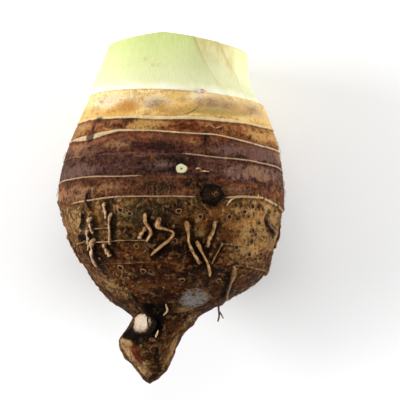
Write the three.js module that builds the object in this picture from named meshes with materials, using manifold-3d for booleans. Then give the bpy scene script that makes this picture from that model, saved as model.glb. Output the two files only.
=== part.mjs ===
// A taro root lying on its side: one corm ringed with leaf scars, its rootlets and its
// broken tail, and the cut stub of three leaf stalks that clasp one another.
//
// Everything is modelled in the growth frame: the tip of the tail is at height 0, +Z runs
// towards the leaves, and an angle of -90 degrees faces the side that ends up on top.
// The whole group is then laid down on its back. Lengths are millimetres.

import * as THREE from 'three';
import { mergeVertices } from 'three/addons/utils/BufferGeometryUtils.js';
import Module from 'manifold-3d';

const wasm = await Module();
wasm.setup();

// ---------------------------------------------------------------- driving dimensions

// Outline of the corm: height, left edge, right edge.
const CORM_OUTLINE = [
  [0, -12.5, -9], [6, -16.8, -3.4], [14, -24, 1], [22, -26, 4.3], [30, -21, 11],
  [34, -20, 14.5], [42, -31.5, 28], [50, -38.3, 41.3], [56, -42.6, 47.6], [64, -47, 49.8],
  [76, -52.6, 53.2], [92, -56.2, 56], [108, -54.4, 54.3], [124, -49.6, 51.3], [141, -42.3, 45.2],
];
// Outline of the bundle of leaf stalks, over the outermost sheath.
const STALK_OUTLINE = [
  [139, -41.2, 45.8], [143, -40.2, 43.9], [147, -39.6, 43], [153, -38.3, 41.8], [160, -35.5, 40.6],
  [172, -31.5, 40],
];
const DEPTH_RATIO = 0.97;

// Leaf scars that ring the corm: height, lean towards +X, lean towards +Y. The last one is
// the plane on which the leaf stalks stand.
const RINGS = [
  [39, -0.3, -0.4], [56, -0.6, -1.5], [66.6, -1.6, -0.8], [73.6, -0.4, -0.4],
  [87, -0.4, -1.4], [97.2, -2.1, -0.6], [108, -2.2, -0.9], [118.2, -2.2, -1.3],
  [128.4, -1.6, 1.7], [141, -2.6, 0],
];
const RING_LIP = 0.7;
const RING_REACH = 1.1;
const ROW_SPACING = 5.4;
const TAIL_ROWS = [0.4, 1.6];
const COLUMNS = 64;

// Slow swellings that keep the corm from being a perfect lathe shape.
const SWELL = 0.45;
const SWELL_HEIGHTS = [34, 50, 122, 136];

// Skin features by angle in degrees and height.
const BUD = { angle: -68.7, height: 89.3, radius: 5.4, rise: 1.9 };
const CUT_ROOT = { angle: -84.5, height: 101.4, radius: 2.8, rise: 0.9 };
const DAUGHTER_STUMP = { angle: -124, height: 29.6, radius: 5.2, rise: 1.6 };
const TAIL_KNOB = { angle: -84, height: 21.6, radius: 1.8, rise: 1 };
const TAIL_CUT = { angle: -152, height: 16, slope: -24, depth: 1.4, reach: 60 };

// Scars where roots came away, by angle and height.
const ROOT_SCARS = [
  [-86, 81.2], [-75, 78.8], [-111, 80.4], [-116, 82.2], [-50, 82], [-59, 79.2], [-38, 77.6],
  [-42, 73.7], [-41, 68.5], [-52, 65.3], [-29, 63.1], [-41, 62.4], [-45, 85], [-23, 84.4],
  [-111, 65.2], [-111, 53.6], [-127, 55.4], [-84, 49.4], [-57, 49.6], [-89, 67.3],
];
const SCAR_RADIUS = 1.7;
const SCAR_RISE = 0.55;
const SCAR_SIDES = 6;
const KNOB_SIDES = 8;
const BUD_SIDES = 14;
// A cut stump flares from its face down to its foot by these shares of its radius.
const STUMP_TAPER = [0.94, 1.1];

// Rootlets on the upper side: thickness at the root, at the tip, and the route over the
// skin by angle and height.
const ROOTLETS = [
  { wide: 2.4, tip: 1.7, route: [[-103, 80], [-103, 76.5], [-101, 72], [-104, 67.6]] },
  { wide: 1.9, tip: 2.5, route: [[-103, 73.6], [-106, 71], [-108, 68.9]] },
  {
    wide: 3.1, tip: 1.6,
    route: [[-96, 77.6], [-97, 74.4], [-93, 73], [-89.5, 71.4], [-93, 67.5], [-103, 61]],
  },
  { wide: 2.6, tip: 1.9, route: [[-82, 76], [-82, 71.5], [-80, 63.7], [-76.5, 57.2]] },
  { wide: 2.2, tip: 1.8, route: [[-77, 67], [-75, 62.5], [-71.5, 57.5], [-67, 52]] },
  { wide: 2.5, tip: 1.9, route: [[-67, 76], [-69, 71.5], [-71.5, 64.8]] },
  { wide: 2.6, tip: 1.7, route: [[-136, 79], [-136, 76], [-137, 72.6]] },
  { wide: 2.2, tip: 1.8, route: [[-141, 73.8], [-143, 69], [-146, 65.2]] },
  { wide: 3, tip: 2, route: [[-139, 69], [-143, 64.5], [-144.5, 61], [-145, 57.2]] },
  { wide: 2.6, tip: 1.6, route: [[-125, 85.2], [-124, 82], [-125, 78.8]] },
  { wide: 2.2, tip: 1.6, route: [[-122, 80.9], [-123, 77], [-125, 71], [-127, 66.8]] },
  { wide: 2.4, tip: 2.9, route: [[-131, 66.8], [-131, 64], [-130, 61.4]] },
  { wide: 2.2, tip: 1.5, route: [[-143, 82.7], [-143, 79], [-148, 75.8]] },
  { wide: 2.4, tip: 1.8, route: [[-32, 80.2], [-29, 77.2], [-22, 75.2], [-17, 74]] },
  { wide: 2.6, tip: 2, route: [[-52, 56], [-50, 52.6], [-45, 48.4], [-34, 44.4], [-24, 42.8]] },
  { wide: 1.5, tip: 0.9, route: [[-62, 67], [-66, 60.8], [-69, 57]] },
  { wide: 1.5, tip: 1, route: [[-136, 91.6], [-137, 88], [-136, 84.4]] },
];
const ROOTLET_SIDES = 6;
const ROOTLET_STEP = 3;
const ROOTLET_STEPS = [3, 8];
// The swollen end of a rootlet: how much thicker, where along it, and over what share.
const ROOTLET_BULB = { gain: 0.35, at: 0.12, reach: 0.1 };
// How far a rootlet's middle line is sunk at its root, and lies off the skin after that.
const ROOTLET_SUNK = 0.5;
const ROOTLET_REST = 0.55;

// The black strand over the daughter corm's stump, and how far it arches off the skin.
const STRAND = {
  wide: 1.3, tip: 0.8, arch: 2,
  route: [[-124.8, 44.1], [-123.2, 40.6], [-123, 37], [-121, 33.8], [-116.5, 30.8], [-108, 27.6]],
};

// The wiry root that hangs free beside the neck: where it leaves the skin, how far it drops,
// and the short branch near its end.
const WIRY_ROOT = { angle: -30, height: 42, sunk: 1, drop: 12, drift: -0.8, wide: 1.6, tip: 1 };
const WIRY_BRANCH = { start: 0.6, out: 2.2, drop: 3.6, wide: 1.1, tip: 0.8 };

// Rootlets and scars round the sides and under the corm follow a fixed scatter.
const SIDE_ROOTLETS = {
  count: 13, first: 4, last: 176, low: 57, high: 84, wide: 2.5, tip: 1.7, drop: [8, 15], bend: 6,
};
const SIDE_SCARS = { count: 26, first: 0, last: 180, low: 46, high: 86 };

// Leaf stalks: angles of the two margins at the base and at the cut, and thicknesses.
const OUTER_SHEATH = { front: [-52, -64, -69.5, -78], back: [34, 52, 58, 62], thin: 0.9, thick: 13 };
const SECOND_SHEATH = { front: [-33, -37.5, -44.5, -57], back: [70, 88, 94, 98], thin: 0.8, thick: 12 };
const MARGIN_HEIGHTS = [142, 154, 160, 170];
const SHEATH_GAP = 0.3;
// Past a sheath's margins the stalk under it swells out to the bundle's outline at its foot:
// degrees past the margin, and heights, between which it does.
const FOOT = { past: [8, 16], heights: [143, 152] };
const SHEATH_AROUND = 44;
const SHEATH_UP = 10;

// The cut across the leaf stalks is a low roof with its ridge along Y.
const CUT = { ridge: -4, height: 171.1, leftSlope: 0.085, rightSlope: -0.15 };

// The corm lies with its growth axis this far round X from upright, on a small flat.
const LIE_ANGLE = -98;
const PLACE = new THREE.Vector3(0.2, -87.1, 65.6);
const GROUND_SIZE = 400;

// ---------------------------------------------------------------- the skin of the corm

const clamp = THREE.MathUtils.clamp;
const lerp = THREE.MathUtils.lerp;
const radians = THREE.MathUtils.degToRad;

// Smooth curve through rows of [x, value, ...], read in one column.
function along(rows, column, x) {
  let i = 0;
  while (i < rows.length - 2 && x > rows[i + 1][0]) i += 1;
  const slope = (k) => {
    const a = rows[Math.max(k - 1, 0)];
    const b = rows[Math.min(k + 1, rows.length - 1)];
    return (b[column] - a[column]) / (b[0] - a[0]);
  };
  const width = rows[i + 1][0] - rows[i][0];
  const t = (x - rows[i][0]) / width;
  const start = (2 * t ** 3 - 3 * t ** 2 + 1) * rows[i][column];
  const end = (3 * t ** 2 - 2 * t ** 3) * rows[i + 1][column];
  const bend = (t ** 3 - 2 * t ** 2 + t) * slope(i) + (t ** 3 - t ** 2) * slope(i + 1);
  return start + end + bend * width;
}

// Straight ramps through matching lists of places and values.
function ramp(places, values, x) {
  let i = 0;
  while (i < places.length - 2 && x > places[i + 1]) i += 1;
  const t = clamp((x - places[i]) / (places[i + 1] - places[i]), 0, 1);
  return lerp(values[i], values[i + 1], t);
}

function swell(angle, height) {
  const fade = ramp(SWELL_HEIGHTS, [0, 1, 1, 0], height);
  const broad = Math.sin(2 * angle + 1.3) * Math.sin(height / 14 + 0.4);
  const narrow = 0.6 * Math.sin(5 * angle + 2.1) * Math.sin(height / 9 + 1);
  return SWELL * fade * (broad + narrow);
}

// Point of an outline's skin at an angle in radians, moved outwards by a lift.
function skin(outline, angle, height, lift) {
  const left = along(outline, 1, height);
  const right = along(outline, 2, height);
  const half = (right - left) / 2;
  const x = (left + right) / 2 + (half + lift) * Math.cos(angle);
  const y = (half * DEPTH_RATIO + lift) * Math.sin(angle);
  return new THREE.Vector3(x, y, height);
}

function centre(outline, height) {
  return skin(outline, 0, height, 0).add(skin(outline, Math.PI, height, 0)).multiplyScalar(0.5);
}

function cormPoint(degrees, height, lift) {
  const angle = radians(degrees);
  return skin(CORM_OUTLINE, angle, height, swell(angle, height) + lift);
}

// Outward direction of the corm's skin, from two short steps along it.
function cormNormal(degrees, height) {
  const step = 0.5;
  const here = cormPoint(degrees, height, 0);
  const round = cormPoint(degrees + step, height, 0).sub(here);
  const up = cormPoint(degrees, height + step, 0).sub(here);
  return round.cross(up).normalize();
}

// ---------------------------------------------------------------- solids

function toSolid(geometry) {
  const bare = new THREE.BufferGeometry();
  bare.setAttribute('position', geometry.getAttribute('position').clone());
  bare.setIndex(geometry.getIndex());
  const merged = mergeVertices(bare, 1e-4);
  const index = merged.getIndex().array;
  const triangles = [];
  for (let i = 0; i < index.length; i += 3) {
    const [a, b, c] = index.slice(i, i + 3);
    if (a !== b && b !== c && c !== a) triangles.push(a, b, c);
  }
  return new wasm.Manifold(new wasm.Mesh({
    numProp: 3,
    vertProperties: new Float32Array(merged.getAttribute('position').array),
    triVerts: new Uint32Array(triangles),
  }));
}

function toGeometry(solid) {
  const mesh = solid.getMesh();
  const geometry = new THREE.BufferGeometry();
  geometry.setAttribute('position', new THREE.BufferAttribute(mesh.vertProperties, 3));
  geometry.setIndex(new THREE.BufferAttribute(mesh.triVerts, 1));
  geometry.computeVertexNormals();
  return geometry;
}

// Moves every vertex of a geometry by a function of its old place.
function reshape(geometry, move) {
  const position = geometry.getAttribute('position');
  const old = new THREE.Vector3();
  for (let i = 0; i < position.count; i += 1) {
    const moved = move(old.fromBufferAttribute(position, i));
    position.setXYZ(i, moved.x, moved.y, moved.z);
  }
  return geometry;
}

// Heights of the corm's rows: three at each ring, and even steps between rings.
function cormRows() {
  const rows = [...TAIL_ROWS];
  let last = rows.at(-1);
  for (const [ring] of RINGS) {
    const start = ring - RING_REACH;
    const steps = Math.max(1, Math.round((start - last) / ROW_SPACING));
    for (let i = 1; i <= steps; i += 1) rows.push(lerp(last, start, i / steps));
    rows.push(ring);
    last = ring + RING_REACH;
    if (ring !== RINGS.at(-1)[0]) rows.push(last);
  }
  return rows;
}

function ringLip(height) {
  const lips = RINGS.slice(0, -1).map(([ring]) => 1 - Math.abs(height - ring) / RING_REACH);
  return RING_LIP * Math.max(0, ...lips);
}

function cormSolid() {
  const rows = cormRows();
  const bottom = new THREE.Vector2(0, 0);
  const top = new THREE.Vector2(0, rows.at(-1));
  const profile = [bottom, ...rows.map((row) => new THREE.Vector2(1, row)), top];
  const lathe = new THREE.LatheGeometry(profile, COLUMNS).rotateX(Math.PI / 2);
  const places = RINGS.map(([ring]) => ring);
  const shaped = reshape(lathe, (p) => {
    const angle = Math.atan2(p.y, p.x);
    const radius = Math.min(1, Math.hypot(p.x, p.y));
    const leanX = ramp(places, RINGS.map((ring) => ring[1]), p.z);
    const leanY = ramp(places, RINGS.map((ring) => ring[2]), p.z);
    const lean = radius * (leanX * Math.cos(angle) + leanY * Math.sin(angle));
    const height = p.z + lean * clamp(p.z / RINGS[0][0], 0, 1);
    const edge = skin(CORM_OUTLINE, angle, height, swell(angle, height) + ringLip(p.z));
    return centre(CORM_OUTLINE, p.z).lerp(edge, radius);
  });
  return toSolid(shaped);
}

// A low dome or a short stump on the skin, its axis along the skin's normal.
function onSkin(geometry, { angle, height }) {
  const upright = new THREE.Vector3(0, 1, 0);
  const turn = new THREE.Quaternion().setFromUnitVectors(upright, cormNormal(angle, height));
  const place = new THREE.Matrix4().makeRotationFromQuaternion(turn);
  return toSolid(geometry.applyMatrix4(place.setPosition(cormPoint(angle, height, 0))));
}

function dome({ angle, height, radius, rise }, sides) {
  const ball = new THREE.SphereGeometry(radius, sides, sides / 2).scale(1, rise / radius, 1);
  return onSkin(ball, { angle, height });
}

function stump({ angle, height, radius, rise }) {
  const sunk = radius;
  const [face, foot] = STUMP_TAPER;
  const disc = new THREE.CylinderGeometry(radius * face, radius * foot, rise + sunk, BUD_SIDES);
  return onSkin(disc.translate(0, (rise - sunk) / 2, 0), { angle, height });
}

// A tapering tube with a swollen start, along a curve that leaves the skin.
function taperedRoot(curve, outward, wide, tip) {
  const [fewest, most] = ROOTLET_STEPS;
  const steps = clamp(Math.round(curve.getLength() / ROOTLET_STEP), fewest, most);
  const tube = new THREE.CylinderGeometry(1, 1, 1, ROOTLET_SIDES, steps).rotateX(Math.PI / 2);
  const { gain, at, reach } = ROOTLET_BULB;
  return toSolid(reshape(tube, (p) => {
    const t = clamp(p.z + 0.5, 0, 1);
    const bulb = 1 + gain * Math.exp(-(((t - at) / reach) ** 2));
    const radius = 0.5 * lerp(wide, tip, t ** 0.5) * bulb;
    const tangent = curve.getTangentAt(t);
    const side = new THREE.Vector3().crossVectors(outward, tangent).normalize();
    const lift = new THREE.Vector3().crossVectors(tangent, side);
    return curve.getPointAt(t).addScaledVector(side, p.x * radius).addScaledVector(lift, p.y * radius);
  }));
}

// A rootlet bent along its route over the skin: its start is sunk in, the rest lies on it.
function rootlet({ wide, tip, route, arch = 0 }) {
  const last = route.length - 1;
  const points = route.map(([angle, height], i) => {
    const rest = (i === 0 ? -ROOTLET_SUNK : ROOTLET_REST) * wide;
    return cormPoint(angle, height, rest + arch * Math.sin((Math.PI * i) / last));
  });
  return taperedRoot(new THREE.CatmullRomCurve3(points), cormNormal(...route[0]), wide, tip);
}

// The wiry root and its branch, which leave the skin straight towards the tail.
function wiryRoot() {
  const { angle, height, sunk, drop, drift, wide, tip } = WIRY_ROOT;
  const start = cormPoint(angle, height, -sunk);
  const end = start.clone().add(new THREE.Vector3(drift, 0, -drop));
  const outward = new THREE.Vector3(0, -1, 0);
  const root = taperedRoot(new THREE.LineCurve3(start, end), outward, wide, tip);
  const fork = start.clone().lerp(end, WIRY_BRANCH.start);
  const forkEnd = fork.clone().add(new THREE.Vector3(WIRY_BRANCH.out, 0, -WIRY_BRANCH.drop));
  const branch = new THREE.LineCurve3(fork, forkEnd);
  return root.add(taperedRoot(branch, outward, WIRY_BRANCH.wide, WIRY_BRANCH.tip));
}

// A repeatable number from 0 to 1 for each whole n.
function scatter(n) {
  const wave = Math.sin(n * 12.9898) * 43758.5453;
  return wave - Math.floor(wave);
}

function sideRootlet(n) {
  const { count, first, last, low, high, wide, tip } = SIDE_ROOTLETS;
  const [shortest, longest] = SIDE_ROOTLETS.drop;
  const angle = lerp(first, last, (n + 0.7 * scatter(n + 1)) / count);
  const height = lerp(low + longest, high, scatter(n + 20));
  const drop = lerp(shortest, longest, scatter(n + 40));
  const bend = lerp(-SIDE_ROOTLETS.bend, SIDE_ROOTLETS.bend, scatter(n + 60));
  const middle = [angle + bend, height - drop / 2];
  const end = [angle + bend / 2, height - drop];
  return rootlet({ wide, tip, route: [[angle, height], middle, end] });
}

function sideScar(n) {
  const { count, first, last, low, high } = SIDE_SCARS;
  const angle = lerp(first, last, (n + 0.5) / count);
  return { angle, height: lerp(low, high, scatter(n + 80)), radius: SCAR_RADIUS, rise: SCAR_RISE };
}

// The knife cut that left a flat on the tail.
function tailCutter() {
  const { angle, height, slope, depth, reach } = TAIL_CUT;
  const box = new THREE.BoxGeometry(reach, reach, reach).translate(reach / 2, 0, 0);
  const facing = new THREE.Euler(0, radians(-slope), radians(angle), 'ZYX');
  const turn = new THREE.Quaternion().setFromEuler(facing);
  const place = new THREE.Matrix4().makeRotationFromQuaternion(turn);
  return toSolid(box.applyMatrix4(place.setPosition(cormPoint(angle, height, -depth))));
}

const lying = new THREE.Matrix4().makeRotationX(radians(LIE_ANGLE)).setPosition(PLACE);

// The ground as a block, seen from the growth frame: it takes the resting flat off the corm.
function groundBlock() {
  const block = new THREE.BoxGeometry(GROUND_SIZE, GROUND_SIZE, GROUND_SIZE);
  block.translate(0, 0, -GROUND_SIZE / 2);
  return toSolid(block.applyMatrix4(lying.clone().invert()));
}

function cormGeometry() {
  const rises = [dome(BUD, BUD_SIDES), dome(TAIL_KNOB, KNOB_SIDES), stump(CUT_ROOT), stump(DAUGHTER_STUMP)];
  for (const [angle, height] of ROOT_SCARS) {
    rises.push(dome({ angle, height, radius: SCAR_RADIUS, rise: SCAR_RISE }, SCAR_SIDES));
  }
  for (let n = 0; n < SIDE_SCARS.count; n += 1) rises.push(dome(sideScar(n), SCAR_SIDES));
  for (const one of ROOTLETS) rises.push(rootlet(one));
  for (let n = 0; n < SIDE_ROOTLETS.count; n += 1) rises.push(sideRootlet(n));
  rises.push(rootlet(STRAND), wiryRoot());
  let solid = cormSolid().subtract(tailCutter());
  for (const rise of rises) solid = solid.add(rise);
  return toGeometry(solid.subtract(groundBlock()));
}

// ---------------------------------------------------------------- leaf stalks

function basePlane(x, gap) {
  const [height, leanX] = RINGS.at(-1);
  const left = along(CORM_OUTLINE, 1, height);
  const right = along(CORM_OUTLINE, 2, height);
  return height + gap + (leanX * (x - (left + right) / 2)) / ((right - left) / 2);
}

function cutPlane(x) {
  const slope = x < CUT.ridge ? CUT.leftSlope : CUT.rightSlope;
  return CUT.height + slope * (x - CUT.ridge);
}

// How thick a sheath is at an angle: thin at its two margins, thick between them. Angles
// run from the back margin up to the front margin, one turn on.
function thickness(sheath, degrees, height) {
  const back = ramp(MARGIN_HEIGHTS, sheath.back, height);
  const front = ramp(MARGIN_HEIGHTS, sheath.front, height) + 360;
  const turned = degrees < 0 ? degrees + 360 : degrees;
  const t = clamp((turned - back) / (front - back), 0, 1);
  return sheath.thin + (sheath.thick - sheath.thin) * Math.sin(Math.PI * t) ** 2;
}

// How much of a sheath's own depth the stalk under it keeps clear at an angle.
function clearance(sheath, degrees, height) {
  const back = ramp(MARGIN_HEIGHTS, sheath.back, height);
  const front = ramp(MARGIN_HEIGHTS, sheath.front, height) + 360;
  const turned = degrees < 0 ? degrees + 360 : degrees;
  const past = Math.max(back - turned, turned - front);
  const low = 1 - THREE.MathUtils.smoothstep(height, ...FOOT.heights);
  return 1 - low * THREE.MathUtils.smoothstep(past, ...FOOT.past);
}

// Point of the bundle at an angle, under the sheaths named in the list.
function stalkPoint(degrees, height, under) {
  let depth = 0;
  for (const sheath of under) {
    const taken = thickness(sheath, degrees, height) + SHEATH_GAP;
    depth += taken * clearance(sheath, degrees, height);
  }
  return skin(STALK_OUTLINE, radians(degrees), height, -depth);
}

// Sets a point's height between the foot on the corm and the cut.
function stand(point, share) {
  point.z = lerp(basePlane(point.x, SHEATH_GAP), cutPlane(point.x), share);
  return point;
}

function sheathGeometry(sheath, under) {
  const slab = new THREE.BoxGeometry(1, 1, 1, SHEATH_AROUND, 1, SHEATH_UP);
  return reshape(slab, (p) => {
    const share = p.z + 0.5;
    const height = lerp(MARGIN_HEIGHTS[0], MARGIN_HEIGHTS.at(-1), share);
    const back = ramp(MARGIN_HEIGHTS, sheath.back, height);
    const front = ramp(MARGIN_HEIGHTS, sheath.front, height) + 360;
    const degrees = lerp(back, front, p.x + 0.5);
    const outside = stalkPoint(degrees, height, under);
    const inside = stalkPoint(degrees, height, [...under, sheath]);
    const inward = inside.sub(outside).setLength(thickness(sheath, degrees, height));
    return stand(outside.addScaledVector(inward, p.y + 0.5), share);
  });
}

function innerStalkGeometry(under) {
  const core = new THREE.CylinderGeometry(1, 1, 1, SHEATH_AROUND, SHEATH_UP).rotateX(Math.PI / 2);
  return reshape(core, (p) => {
    const share = p.z + 0.5;
    const height = lerp(MARGIN_HEIGHTS[0], MARGIN_HEIGHTS.at(-1), share);
    const degrees = THREE.MathUtils.radToDeg(Math.atan2(p.y, p.x));
    const edge = stalkPoint(degrees, height, under);
    const reach = Math.min(1, Math.hypot(p.x, p.y));
    return stand(centre(STALK_OUTLINE, height).lerp(edge, reach), share);
  });
}

// ---------------------------------------------------------------- the assembled part

function named(name, geometry, colour, roughness) {
  const material = new THREE.MeshStandardMaterial({ color: colour, roughness, metalness: 0 });
  const mesh = new THREE.Mesh(geometry, material);
  mesh.name = name;
  return mesh;
}

const group = new THREE.Group();
group.name = 'taro_root';
group.add(
  named('corm', cormGeometry(), 0x5a3b22, 0.85),
  named('petiole_outer', sheathGeometry(OUTER_SHEATH, []), 0xe6efaf, 0.5),
  named('petiole_second', sheathGeometry(SECOND_SHEATH, [OUTER_SHEATH]), 0xdedfb4, 0.55),
  named('petiole_inner', innerStalkGeometry([OUTER_SHEATH, SECOND_SHEATH]), 0xf0f0c4, 0.55),
);
group.rotation.x = radians(LIE_ANGLE);
group.position.copy(PLACE);

export default group;
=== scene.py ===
# The looks of a taro root lying on its side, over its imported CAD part.
#
# Shapes are worked out in millimetres in the growth frame of part.mjs: the tip of the tail
# is at height 0, +Z runs towards the leaves, and an angle of -90 degrees faces the side
# that lies on top. lay_down() turns them into metres in the CAD frame.

import math

import bpy
import numpy as np
from mathutils import Matrix, Vector


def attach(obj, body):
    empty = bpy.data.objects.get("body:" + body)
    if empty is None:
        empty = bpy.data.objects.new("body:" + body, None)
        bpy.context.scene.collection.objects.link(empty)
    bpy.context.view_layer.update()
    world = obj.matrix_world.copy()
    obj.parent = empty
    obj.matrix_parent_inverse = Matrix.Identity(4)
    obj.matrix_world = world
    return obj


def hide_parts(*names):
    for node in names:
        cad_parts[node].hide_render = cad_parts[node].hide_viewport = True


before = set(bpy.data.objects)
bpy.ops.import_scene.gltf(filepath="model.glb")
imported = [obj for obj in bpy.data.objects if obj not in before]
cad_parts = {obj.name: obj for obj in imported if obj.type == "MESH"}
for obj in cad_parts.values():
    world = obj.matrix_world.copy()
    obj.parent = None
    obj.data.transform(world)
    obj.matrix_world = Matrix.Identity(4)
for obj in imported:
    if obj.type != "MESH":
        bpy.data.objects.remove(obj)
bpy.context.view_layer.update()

# ---- sizes shared with part.mjs

# Outline of the corm: height, left edge, right edge.
CORM_OUTLINE = np.array([
    [0, -12.5, -9], [6, -16.8, -3.4], [14, -24, 1], [22, -26, 4.3], [30, -21, 11],
    [34, -20, 14.5], [42, -31.5, 28], [50, -38.3, 41.3], [56, -42.6, 47.6], [64, -47, 49.8],
    [76, -52.6, 53.2], [92, -56.2, 56], [108, -54.4, 54.3], [124, -49.6, 51.3], [141, -42.3, 45.2],
])
# Outline of the bundle of leaf stalks, over the outermost sheath.
STALK_OUTLINE = np.array([
    [139, -41.2, 45.8], [143, -40.2, 43.9], [147, -39.6, 43], [153, -38.3, 41.8], [160, -35.5, 40.6],
    [172, -31.5, 40],
])
DEPTH_RATIO = 0.97

# Leaf scars that ring the corm: height, lean towards +X, lean towards +Y.
RINGS = np.array([
    [39, -0.3, -0.4], [56, -0.6, -1.5], [66.6, -1.6, -0.8], [73.6, -0.4, -0.4],
    [87, -0.4, -1.4], [97.2, -2.1, -0.6], [108, -2.2, -0.9], [118.2, -2.2, -1.3],
    [128.4, -1.6, 1.7], [141, -2.6, 0],
])
SWELL = 0.45
SWELL_HEIGHTS = [34, 50, 122, 136]

# Round features: their spot by angle and height, their radius, and their profile as shares of
# the radius and heights over the skin, from the ring that is sunk in it to the middle. On the
# bud lies a dry curl.
BUD = {
    "spot": (-68.7, 89.3), "radius": 5.4, "profile": [
        (1.0, -0.9), (0.97, 0.1), (0.9, 0.55), (0.8, 0.75), (0.77, 1.1), (0.66, 1.25), (0.55, 1.3),
        (0.52, 1.65), (0.4, 1.75), (0.28, 1.75), (0.25, 2.0), (0.12, 2.1), (0.03, 2.1),
    ],
}
BUD_CURL = {"lift": 2.3, "across": 0.8, "radius": 1.3, "half": 0.32}
CUT_ROOT = {
    "spot": (-84.5, 101.4), "radius": 2.8, "profile": [
        (1.0, -0.6), (0.98, 0.3), (0.93, 0.7), (0.84, 0.86),
        (0.6, 0.8), (0.3, 0.72), (0.12, 0.5), (0.04, 0.4),
    ],
}
DAUGHTER_STUMP = {
    "spot": (-124, 29.6), "radius": 5.2, "profile": [
        (1.12, -1.4), (1.08, -0.2), (1.05, 0.9), (1.0, 1.35), (0.93, 1.5), (0.88, 1.5),
        (0.84, 1.75), (0.8, 1.8), (0.6, 1.7), (0.4, 1.75), (0.2, 1.8), (0.08, 1.8),
    ],
}
TAIL_KNOB = {
    "spot": (-84, 21.6), "radius": 1.26,
    "profile": [(1.0, -0.6), (0.95, 0.1), (0.8, 0.4), (0.55, 0.6), (0.25, 0.65)],
}
SCAR_PROFILE = [(1.0, -0.4), (0.9, 0.1), (0.78, 0.42), (0.66, 0.5), (0.56, 0.36), (0.48, 0.2), (0.2, 0.14)]
FLAKE_PROFILE = [(1.0, -0.5), (1.0, 0.06), (0.86, 0.2), (0.45, 0.26)]
TAIL_CUT = {"angle": -152, "height": 16, "slope": -24, "depth": 1.4}

# Scars where roots came away, by angle and height.
ROOT_SCARS = [
    (-86, 81.2), (-75, 78.8), (-111, 80.4), (-116, 82.2), (-50, 82), (-59, 79.2), (-38, 77.6),
    (-42, 73.7), (-41, 68.5), (-52, 65.3), (-29, 63.1), (-41, 62.4), (-45, 85), (-23, 84.4),
    (-111, 65.2), (-111, 53.6), (-127, 55.4), (-84, 49.4), (-57, 49.6), (-89, 67.3),
]
SCAR_RADIUS = 1.8

# Rootlets: thickness at the root, at the tip, and the route by angle and height. "tone" is
# how far one has darkened, "bleach" how pale its dry outside is, and "beads" how far it
# swells in places.
ROOTLETS = [
    {"wide": 2.4, "tip": 1.7, "route": [(-103, 80), (-103, 76.5), (-101, 72), (-104, 67.6)]},
    {"wide": 1.9, "tip": 2.5, "tone": 0.15, "route": [(-103, 73.6), (-106, 71), (-108, 68.9)]},
    {"wide": 3.1, "tip": 1.6, "tone": 0.25,
     "route": [(-96, 77.6), (-97, 74.4), (-93, 73), (-89.5, 71.4), (-93, 67.5), (-103, 61)]},
    {"wide": 2.6, "tip": 1.9, "tone": 0.15, "route": [(-82, 76), (-82, 71.5), (-80, 63.7), (-76.5, 57.2)]},
    {"wide": 2.2, "tip": 1.8, "route": [(-77, 67), (-75, 62.5), (-71.5, 57.5), (-67, 52)]},
    {"wide": 2.5, "tip": 1.9, "tone": 0.25, "route": [(-67, 76), (-69, 71.5), (-71.5, 64.8)]},
    {"wide": 2.6, "tip": 1.7, "bleach": 0.6, "route": [(-136, 79), (-136, 76), (-137, 72.6)]},
    {"wide": 2.2, "tip": 1.8, "bleach": 0.8, "route": [(-141, 73.8), (-143, 69), (-146, 65.2)]},
    {"wide": 3.0, "tip": 2.3, "bleach": 0.9, "beads": 0.2,
     "route": [(-139, 69), (-143, 64.5), (-144.5, 61), (-145, 57.2)]},
    {"wide": 2.6, "tip": 1.6, "bleach": 0.7, "route": [(-125, 85.2), (-124, 82), (-125, 78.8)]},
    {"wide": 2.2, "tip": 1.6, "tone": 0.2, "bleach": 0.4,
     "route": [(-122, 80.9), (-123, 77), (-125, 71), (-127, 66.8)]},
    {"wide": 2.4, "tip": 2.9, "bleach": 0.4, "route": [(-131, 66.8), (-131, 64), (-130, 61.4)]},
    {"wide": 2.2, "tip": 1.5, "tone": 0.5, "route": [(-143, 82.7), (-143, 79), (-148, 75.8)]},
    {"wide": 2.8, "tip": 2.0, "tone": 0.7, "route": [(-32, 80.2), (-29, 77.2), (-22, 75.2), (-17, 74)]},
    {"wide": 2.6, "tip": 2.0, "tone": 0.4,
     "route": [(-52, 56), (-50, 52.6), (-45, 48.4), (-34, 44.4), (-24, 42.8)]},
    {"wide": 1.5, "tip": 0.9, "tone": 0.6, "route": [(-62, 67), (-66, 60.8), (-69, 57)]},
    {"wide": 1.5, "tip": 1.0, "tone": 1.0, "route": [(-136, 91.6), (-137, 88), (-136, 84.4)]},
]
# The black strand over the daughter corm's stump, and how far it arches towards the top.
STRAND = {
    "wide": 1.3, "tip": 1.0, "arch": 3.6,
    "route": [(-124.8, 44.1), (-123.2, 40.6), (-123, 37), (-121, 33.8), (-116.5, 30.8), (-108, 27.6)],
}
# The wiry root that hangs free beside the neck: where it leaves the skin, how far it drops,
# and the short branch near its end.
WIRY_ROOT = {"angle": -30, "height": 42, "sunk": 1, "drop": 12, "drift": -0.8, "wide": 1.6, "tip": 1}
WIRY_BRANCH = {"start": 0.6, "out": 2.2, "drop": 3.6, "wide": 1.1, "tip": 0.8}
# Rootlets and root scars on the side that the photo doesn't show.
SIDE_ROOTLETS = {
    "count": 13, "angle": (4, 176), "height": (57, 84), "wide": 2.5, "tip": 1.7, "drop": (8, 15), "bend": 6,
}
SIDE_SCARS = {"count": 26, "angle": (0, 180), "height": (46, 86)}

# Leaf stalks: angles of the two margins at the base and at the cut, and thicknesses.
OUTER_SHEATH = {"front": [-52, -64, -69.5, -78], "back": [34, 52, 58, 62], "thin": 0.9, "thick": 13}
SECOND_SHEATH = {"front": [-33, -37.5, -44.5, -57], "back": [70, 88, 94, 98], "thin": 0.8, "thick": 12}
MARGIN_HEIGHTS = [142, 154, 160, 170]
SHEATH_GAP = 0.3
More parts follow.
